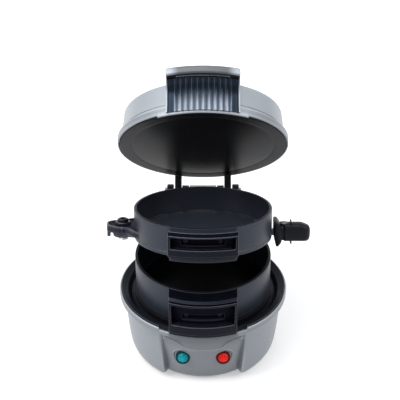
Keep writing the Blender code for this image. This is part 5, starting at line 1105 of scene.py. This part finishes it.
def bar_grip(middle):
    """The plate's grip along x: a rounded oblong section, |v|^3 + |w|^3 = 1, lower at its neck. Round its
    end it is drawn in as (1 - u^2.4)^0.5 in width and (1 - u^8)^0.5 below, and falls above as
    (1 - 0.38 u^1.2) (1 - u^14)^0.5."""
    body_x = np.concatenate([
        np.linspace(BAR_START, 66.4, 6), np.linspace(66.7, 68.4, 7), np.linspace(69.5, BAR_ROUND_START, 10)
    ])
    end = np.sin(np.linspace(0, np.pi / 2, 19))[1:]
    x = np.concatenate([body_x, BAR_ROUND_START + BAR_END_LENGTH * end])
    u = np.concatenate([np.zeros(len(body_x)), end])[:, None]
    neck = ease((BAR_NECK_END - x) / BAR_NECK_FADE)[:, None]
    slimmer, lower, higher = (amount * neck for amount in BAR_NECK)
    half = (BAR_HALF - slimmer) * np.sqrt(1 - u**2.4)
    turn = 2 * np.pi * np.arange(72) / 72
    v, w = (np.sign(s) * np.abs(s) ** (2 / 3) for s in (np.cos(turn), np.sin(turn)))
    above = (BAR_RISE - lower) * (1 - 0.38 * u**1.2) * np.sqrt(1 - u**14)
    below = (BAR_FALL - higher) * np.sqrt(1 - u**8)
    across = HANDLE_Y + half * v
    height = middle + np.where(w > 0, above, below) * w
    points = np.stack([np.broadcast_to(x[:, None], across.shape), across, height], -1)
    return points.reshape(-1, 3), grid_faces(*across.shape, False, True) + [list(range(len(turn)))]


def make_plate_handle():
    """The moulded grip on the plate's tang, with its collar, rib and screw boss."""
    middle, y = (PLATE_LOW + PLATE_HIGH) / 2, HANDLE_Y
    face = [(58.4, 11.2, 1.0), (58.4, -2.4, 3.0), (60.7, -10.9, 0.9), (62.4, -10.9, 0.9), (65.2, -7.0, 1.0)]
    face += [(65.2, 3.0, 2.0), (63.4, 8.6, 2.0), (61.4, 11.2, 1.4)]
    collar = slab(rounded(face, 5) + [0, middle], y - 8.3, y + 8.3, "y", 2.2, 7)
    piece("handle_collar", "swing_plate", [collar], BLACK, ["plate_handle_collar"])
    top, bottom = middle + BAR_RISE, middle - BAR_FALL
    rib = box(BAR_RIB_X - BAR_RIB_HALF, BAR_RIB_X + BAR_RIB_HALF, y - BAR_RIB_REACH, y + BAR_RIB_REACH)
    rib = slab(soften(rib, 0.3, 3), bottom - 1.6, top + 1.4, "z", 0.35)
    boss = [(0, top - 1.6, 0), (BOSS_RADIUS, top - 1.6, 0.1), (BOSS_RADIUS, top, 0.3)]
    boss += [(BOSS_RADIUS - 0.8, top, 0.2), (BOSS_RADIUS - 0.8, top - 0.4, 0.1), (0, top - 0.4, 0)]
    parts = [(*bar_grip(middle), 0.0, 0.0), (*rib, 0.0, 0.0), turned(rounded(boss, 3), (BOSS_X, y), 56)]
    piece("handle_grip", "swing_plate", parts, BLACK, ["plate_handle_grip"])
    head = aimed(cross_screw(2.6, 0.9), (BOSS_X, y, top - 0.35), (0, 0, 1))
    piece("handle_bolt", "swing_plate", [head], DARK_STEEL, ["plate_handle_screw"])


# Lid

LID_RIM, LID_FRONT_DROP, LID_FLANGE_LOW, LID_FLANGE_HIGH = 119.7, 1.5, 120.3, 125.6
LID_SEAT_RADIUS, LID_SEAT_HEIGHT = 65.5, 122.3
SEAM_LOW, SEAM_HIGH, SEAM_RADIUS = 128.0, 129.0, 67.0
CROWN_RADIUS = 49.5
LID_HALVES, LID_SHADE = (36.4, 35.4), 0.3


def lid_wall():
    """The lid's outer wall, flange to crown: each corner with its reach."""
    wall = [(RIM_RADIUS, LID_FLANGE_HIGH, 0.45), (67.9, 126.0, 0.3), (67.8, SEAM_LOW - 0.2, 0.1)]
    wall += [(SEAM_RADIUS, SEAM_LOW, 0.1), (SEAM_RADIUS, SEAM_HIGH, 0.1)]
    wall += [(67.6, SEAM_HIGH + 0.2, 0.1), (66.0, 147.4, 4.0), (62.5, 149.1, 3.0)]
    wall += [(CROWN_RADIUS, 149.67, FULL), (26.4, 150.19, FULL)]
    return wall + [(8.0, LID_HIGH, FULL), (0.0, LID_HIGH, 0)]


def make_lid_shell():
    """The lid's cover: a rim that is lower over the front, the wall, the crown, and the same inside."""
    rim = [(FLANGE_INNER, LID_RIM, 0), (RIM_RADIUS - 0.6, LID_RIM, 0.3), (RIM_RADIUS, LID_FLANGE_LOW, 0.6)]
    corners = [(*lowered(r, z, LID_FRONT_DROP), reach) for r, z, reach in rim]
    corners += [(*lowered(r, z), reach) for r, z, reach in lid_wall()]
    outer = divide(rounded(corners, 4, closed=False), 1.2, closed=False)
    inner = [(0.0, LID_HIGH - WALL), (CROWN_RADIUS, 147.7), (61.4, 147.1), (64.0, 144.5)]
    inner += [(LID_SEAT_RADIUS, 125.7), (LID_SEAT_RADIUS, LID_SEAT_HEIGHT), (FLANGE_INNER, LID_SEAT_HEIGHT)]
    rows = np.concatenate([outer, [lowered(r, z) for r, z in inner]])
    points, faces = rimmed(rows, even_edges(*LID_HALVES), 64, 3, 132)
    z = points[:, 2]
    # painted shade on the flange's outer face
    side = (radial(points) > SIDE_RADIUS) * ease((z - 120.6) / 0.8) * ease((125.2 - z) / SIDE_FADE)
    piece("lid_cover", "lid", [(points, faces, LID_SHADE * side)], SILVER, ["lid_shell"])


def make_lid_bezel():
    """The flat dark ring inside the lid's rim, level with its heating plate's edge."""
    face, inner = LID_LOW, SHELF_RADIUS - 0.1
    deep, shelf, step = face + BEZEL_DEPTH, face + SHELF_DEPTH, face + 2.6
    corners = [(BEZEL_INNER, deep, 0.3), (BEZEL_INNER, shelf, 0.3), (inner, shelf, 0.3), (inner, face, 0.02)]
    corners += [(BEZEL_OUTER, face, 0.3), (BEZEL_OUTER, step, 0.3)]
    corners += [(64.9, step, 0.3), (64.9, step + 1.0, 0.3), (MOAT_RADIUS, deep, 0.3)]
    points, faces = turned(divide(rounded(corners, 3), 3.0))
    # painted highlight on proud edges only beyond radius 65, on the step by the rim
    edge_highlight = (radial(points) > 65.0) * 1.0
    piece("lid_rim", "lid", [(points, faces, 0.0, edge_highlight)], INSIDE, ["lid_bezel"])


CAP_LOW, CAP_LIP, CAP_HIGH, CAP_HALF = 120.1, 145.0, 151.9, 29.0
CAP_INNER, CAP_FRONT, CAP_OUTER = 61.8, 84.4, 86.0
COVE_FOOT, COVE_START, COVE_REACH, COVE_STEPS, COVE_SHARE = 73.2, 73.5, 10.9, 26, 0.42
SIDE_PLATE_X, SIDE_PLATE_HALF = 28.45, 0.5
RIB_COUNT, RIB_WIDTH, RIB_DEPTH, RIB_FLAT = 10, 4.45, 1.15, 0.6
INSERT_HALF, INSERT_BACK = 27.8, 71.9
RIB_ZONE = RIB_COUNT * RIB_WIDTH / 2


def cove(low, high):
    """The handle's front: upright at its foot, then a quarter ellipse out to the lip."""
    start = low + (high - low) * COVE_SHARE
    t = np.linspace(0, np.pi / 2, COVE_STEPS)
    curve = np.stack([COVE_START + COVE_REACH * (1 - np.cos(t)), start + (high - start) * np.sin(t)], 1)
    foot = np.stack([np.linspace(COVE_FOOT, COVE_START, 9)[:-1], np.linspace(low, start, 9)[:-1]], 1)
    return np.concatenate([foot, curve])


def make_lid_handle():
    """A silver cap with a lip and two side plates, and the ribbed insert in the cove under the lip. Painted
    shade darkens the lip's front towards its middle and the cap's underside.
    """
    face = cove(CAP_LOW, CAP_LIP)
    cap = [(71.9, CAP_LIP, 0.4), (CAP_FRONT, CAP_LIP, 0.6), (CAP_OUTER, CAP_LIP + 0.8, 0.7)]
    cap += [(CAP_OUTER, CAP_HIGH - 1.6, 1.4), (CAP_FRONT, CAP_HIGH, 1.4), (CAP_INNER, 151.0, 0.6)]
    cap += [(CAP_INNER, 149.5, 0.3), (64.3, 149.2, 0.6), (66.6, 146.6, 0.8), (68.3, CAP_LIP - 12, 0.5)]
    points, faces = arc(divide(rounded(cap, 6), 2.0), CAP_HALF, 0.5, 60)
    # painted shade: the lip's front darker towards its middle, the underside of the lip nearly black
    above = points[:, 2] > CAP_LIP + 0.1
    lip = (radial(points) > 84.0) * above * ease((27.0 - np.abs(points[:, 0])) / 9.0)
    under = (radial(points) > 71.0) & ~above
    parts = [(points, faces, np.maximum(0.72 * lip, 0.95 * under))]
    plate = np.concatenate([[(71.4, CAP_LOW)], face, [(84.6, CAP_LIP + 1.0), (72.0, CAP_LIP + 1.0)]])
    parts += [arc(plate, SIDE_PLATE_HALF, 0.2, 4, side * SIDE_PLATE_X) for side in (-1, 1)]
    piece("lid_grip", "lid", parts, SILVER, ["lid_handle_cap"])
    make_lid_insert(face[face[:, 1] < CAP_LIP - 0.5] - [GAP, 0])
    # a bead under the lip, dimmed by painted shade
    line = soften(box(81.8, 82.5, CAP_LIP - 0.9, CAP_LIP + 0.1), 0.25, 3)
    piece("lid_grip_bead", "lid", [(*arc(line, 21.0, 0.3, 40), 0.55)], RIBBED)


def furrows(across):
    """The ribs' wave across the insert, |cos|: 1 on the crests and 0 in the sharp furrows."""
    return np.abs(np.cos(np.pi * (across + RIB_ZONE) / RIB_WIDTH))


def make_lid_insert(rows):
    """Upright ribs: radius less a wave that opens into sharp grooves, flat beyond the last rib. Painted shade
    darkens it upwards, at its sides and in its furrows, and less on each crest, a painted highlight line."""
    x = np.concatenate([
        np.linspace(-RIB_ZONE, RIB_ZONE, RIB_COUNT * 16 + 1), np.linspace(-INSERT_HALF, INSERT_HALF, 80)
    ])

    def ribs(across, height, radius):
        fade = ease((RIB_ZONE - np.abs(across)) / RIB_FLAT)
        return radius - RIB_DEPTH * (1 - (1 - furrows(across) ** 1.6) * fade)

    points, faces = relief(rows, np.unique(x), INSERT_BACK, ribs)
    across, z = np.abs(points[:, 0]), points[:, 2]
    furrow = 1 - furrows(points[:, 0])
    # painted highlight line along each crest: less painted shade there
    crest = np.exp(-((furrow / 0.012) ** 2)) * (across < RIB_ZONE)
    shade = 0.96 * np.maximum(ease((z - 122.5) / 14.0), ease((across - RIB_ZONE + 0.5) / 0.8))
    shade = (1 - (1 - shade) * (1 - 0.9 * furrow)) * (1 - 0.35 * crest)
    piece("lid_ribs", "lid", [(points, faces, shade)], RIBBED, ["lid_handle_insert"])


BRACKET_BACK, BRACKET_LOW, BRACKET_HIGH, BRACKET_HALF = 73.5, 129.0, 144.0, 25.0
BRACKET_ARM_X, BRACKET_ARM_HALF = 22.0, 3.0


def make_bracket():
    """The lid's hinge bracket: a plate behind the skirt and two arms down to the pin."""
    back, low, high = BRACKET_BACK, BRACKET_LOW, BRACKET_HIGH
    plate = soften([(67.8, low), (back, low), (back, high), (66.6, high)], 1.2, 5)
    parts = [slab(plate, -BRACKET_HALF, BRACKET_HALF, "x", 0.8)]
    arm = eye(KNUCKLE_RADIUS, [(67.9, low), (66.8, high), (back, high)])
    parts += slab_pair(arm, BRACKET_ARM_X, BRACKET_ARM_HALF, 0.7)
    piece("lid_bracket", "lid", parts, BLACK, ["lid_hinge_bracket"])
    back_screws("bracket", "lid", BRACKET_BACK, (low + high) / 2)


def make_lid():
    """The lid's pieces, with the upper heating plate level with its bezel."""
    make_lid_shell()
    make_lid_bezel()
    plate = heater(LID_LOW, -1, SHELF_RADIUS - 0.13, 0.02)
    piece("upper_heater", "lid", [plate], INSIDE, ["upper_heating_plate"])
    make_lid_handle()
    make_bracket()


# Stage

# The stage is in metres. Floor and backdrop have one colour for the light that they throw on the object
# and a lighter one where they are seen. The floor's own light rises with the distance from its middle,
# from LIT_LEAST at LIT_FROM to 1 at LIT_TO.
FLOOR_HALF, LIT_FROM, LIT_TO, LIT_LEAST = 4.0, 0.3, 1.0, 0.42
FLOOR_THROWN, FLOOR_SEEN = (0.3, 0.3, 0.3, 1.0), (0.8, 0.8, 0.8, 1.0)
BACKDROP_THROWN, BACKDROP_SEEN = (0.26, 0.265, 0.28, 1.0), (1.0, 1.0, 1.0, 1.0)
LIGHT_TARGET = (0.0, 0.0, 0.12)
LIGHTS = (
    ("left_box", (-1.05, -0.4, 1.2), (0.9, 1.0), 16.0),
    ("right_box", (1.05, -0.35, 1.1), (0.8, 0.9), 8.0),
    ("top_box", (-0.1, -0.05, 1.6), (1.1, 1.1), 12.0),
)
CAMERA_TARGET, CAMERA_DISTANCE, CAMERA_LIFT = (-0.0048, -0.0145, 0.1452), 0.9, math.radians(31.84)
CAMERA_LENS, CAMERA_SENSOR, CAMERA_SHIFT = 99.16, 36.0, (-0.0075, 0.0035)


def make_floor():
    """A white floor that throws less light back than it shows, with its shadow kept near the object."""
    mesh = bpy.data.meshes.new("floor")
    corners = [(x, y, 0) for x, y in box(-FLOOR_HALF, FLOOR_HALF, -FLOOR_HALF, FLOOR_HALF)]
    mesh.from_pydata(corners, [], [(0, 1, 2, 3)])
    floor = bpy.data.objects.new("floor", mesh)
    bpy.context.collection.objects.link(floor)
    made = bpy.data.materials.new("floor_white")
    made.use_nodes = True
    tree = made.node_tree
    shader = tree.nodes["Principled BSDF"]
    shader.inputs["Roughness"].default_value = 0.9
    shader.inputs["Specular IOR Level"].default_value = 0.0
    join = tree.links.new
    seen = seen_rays(tree)
    join(seen_colour(tree, seen, FLOOR_THROWN, FLOOR_SEEN), shader.inputs["Base Color"])
    away = add(tree, "ShaderNodeVectorMath", operation="LENGTH")
    join(tree.nodes.new("ShaderNodeTexCoord").outputs["Object"], away.inputs[0])
    spread = add(tree, "ShaderNodeMapRange")
    for socket, value in enumerate((LIT_FROM, LIT_TO, LIT_LEAST, 1.0), 1):
        spread.inputs[socket].default_value = value
    join(away.outputs["Value"], spread.inputs[0])
    lift = add(tree, "ShaderNodeMath", operation="MULTIPLY")
    join(seen, lift.inputs[0])
    join(spread.outputs[0], lift.inputs[1])
    join(lift.outputs[0], shader.inputs["Emission Color"])
    shader.inputs["Emission Strength"].default_value = 1.0
    mesh.materials.append(made)


def seen_rays(tree):
    """1 for rays from the camera and for reflected and refracted ones, 0 for the rest."""
    path = tree.nodes.new("ShaderNodeLightPath")
    total = path.outputs["Is Camera Ray"]
    for label in ("Is Glossy Ray", "Is Transmission Ray"):
        larger = add(tree, "ShaderNodeMath", operation="MAXIMUM")
        tree.links.new(total, larger.inputs[0])
        tree.links.new(path.outputs[label], larger.inputs[1])
        total = larger.outputs[0]
    return total


def seen_colour(tree, seen, thrown, shown):
    """The colour shown where seen is 1, and the colour thrown where it is 0."""
    mix = add(tree, "ShaderNodeMix", data_type="RGBA")
    mix.inputs[6].default_value = thrown
    mix.inputs[7].default_value = shown
    tree.links.new(seen, mix.inputs["Factor"])
    return mix.outputs[2]


def make_world():
    """A soft grey light all round, which shows white to the camera and in reflections."""
    world = bpy.data.worlds.new("studio")
    bpy.context.scene.world = world
    world.use_nodes = True
    tree = world.node_tree
    backdrop = tree.nodes["Background"]
    colour = seen_colour(tree, seen_rays(tree), BACKDROP_THROWN, BACKDROP_SEEN)
    tree.links.new(colour, backdrop.inputs["Color"])
    backdrop.inputs["Strength"].default_value = 1.0


def area_light(name, place, size, power):
    """A rectangular light at place that looks at the middle of the object."""
    lamp = bpy.data.lights.new(name, "AREA")
    lamp.shape = "RECTANGLE"
    lamp.size, lamp.size_y = size
    lamp.energy = power
    holder = bpy.data.objects.new(name, lamp)
    bpy.context.collection.objects.link(holder)
    holder.location = place
    holder.rotation_euler = (Vector(LIGHT_TARGET) - Vector(place)).to_track_quat("-Z", "Y").to_euler()


def make_camera():
    """A long lens straight in front: back from its target by the distance, and up by the lift's angle."""
    data = bpy.data.cameras.new("camera")
    data.lens = CAMERA_LENS
    data.sensor_width = CAMERA_SENSOR
    data.shift_x, data.shift_y = CAMERA_SHIFT
    camera = bpy.data.objects.new("camera", data)
    bpy.context.collection.objects.link(camera)
    away = Vector((0.0, -math.cos(CAMERA_LIFT), math.sin(CAMERA_LIFT)))
    camera.location = Vector(CAMERA_TARGET) + away * CAMERA_DISTANCE
    camera.rotation_euler = (math.pi / 2 - CAMERA_LIFT, 0.0, 0.0)
    bpy.context.scene.camera = camera


make_base()
make_bottom_ring()
make_top_ring()
make_cooking_plate()
make_plate_handle()
make_lid()
make_floor()
make_world()
for light in LIGHTS:
    area_light(*light)
make_camera()
bpy.context.scene.view_settings.view_transform = "Standard"
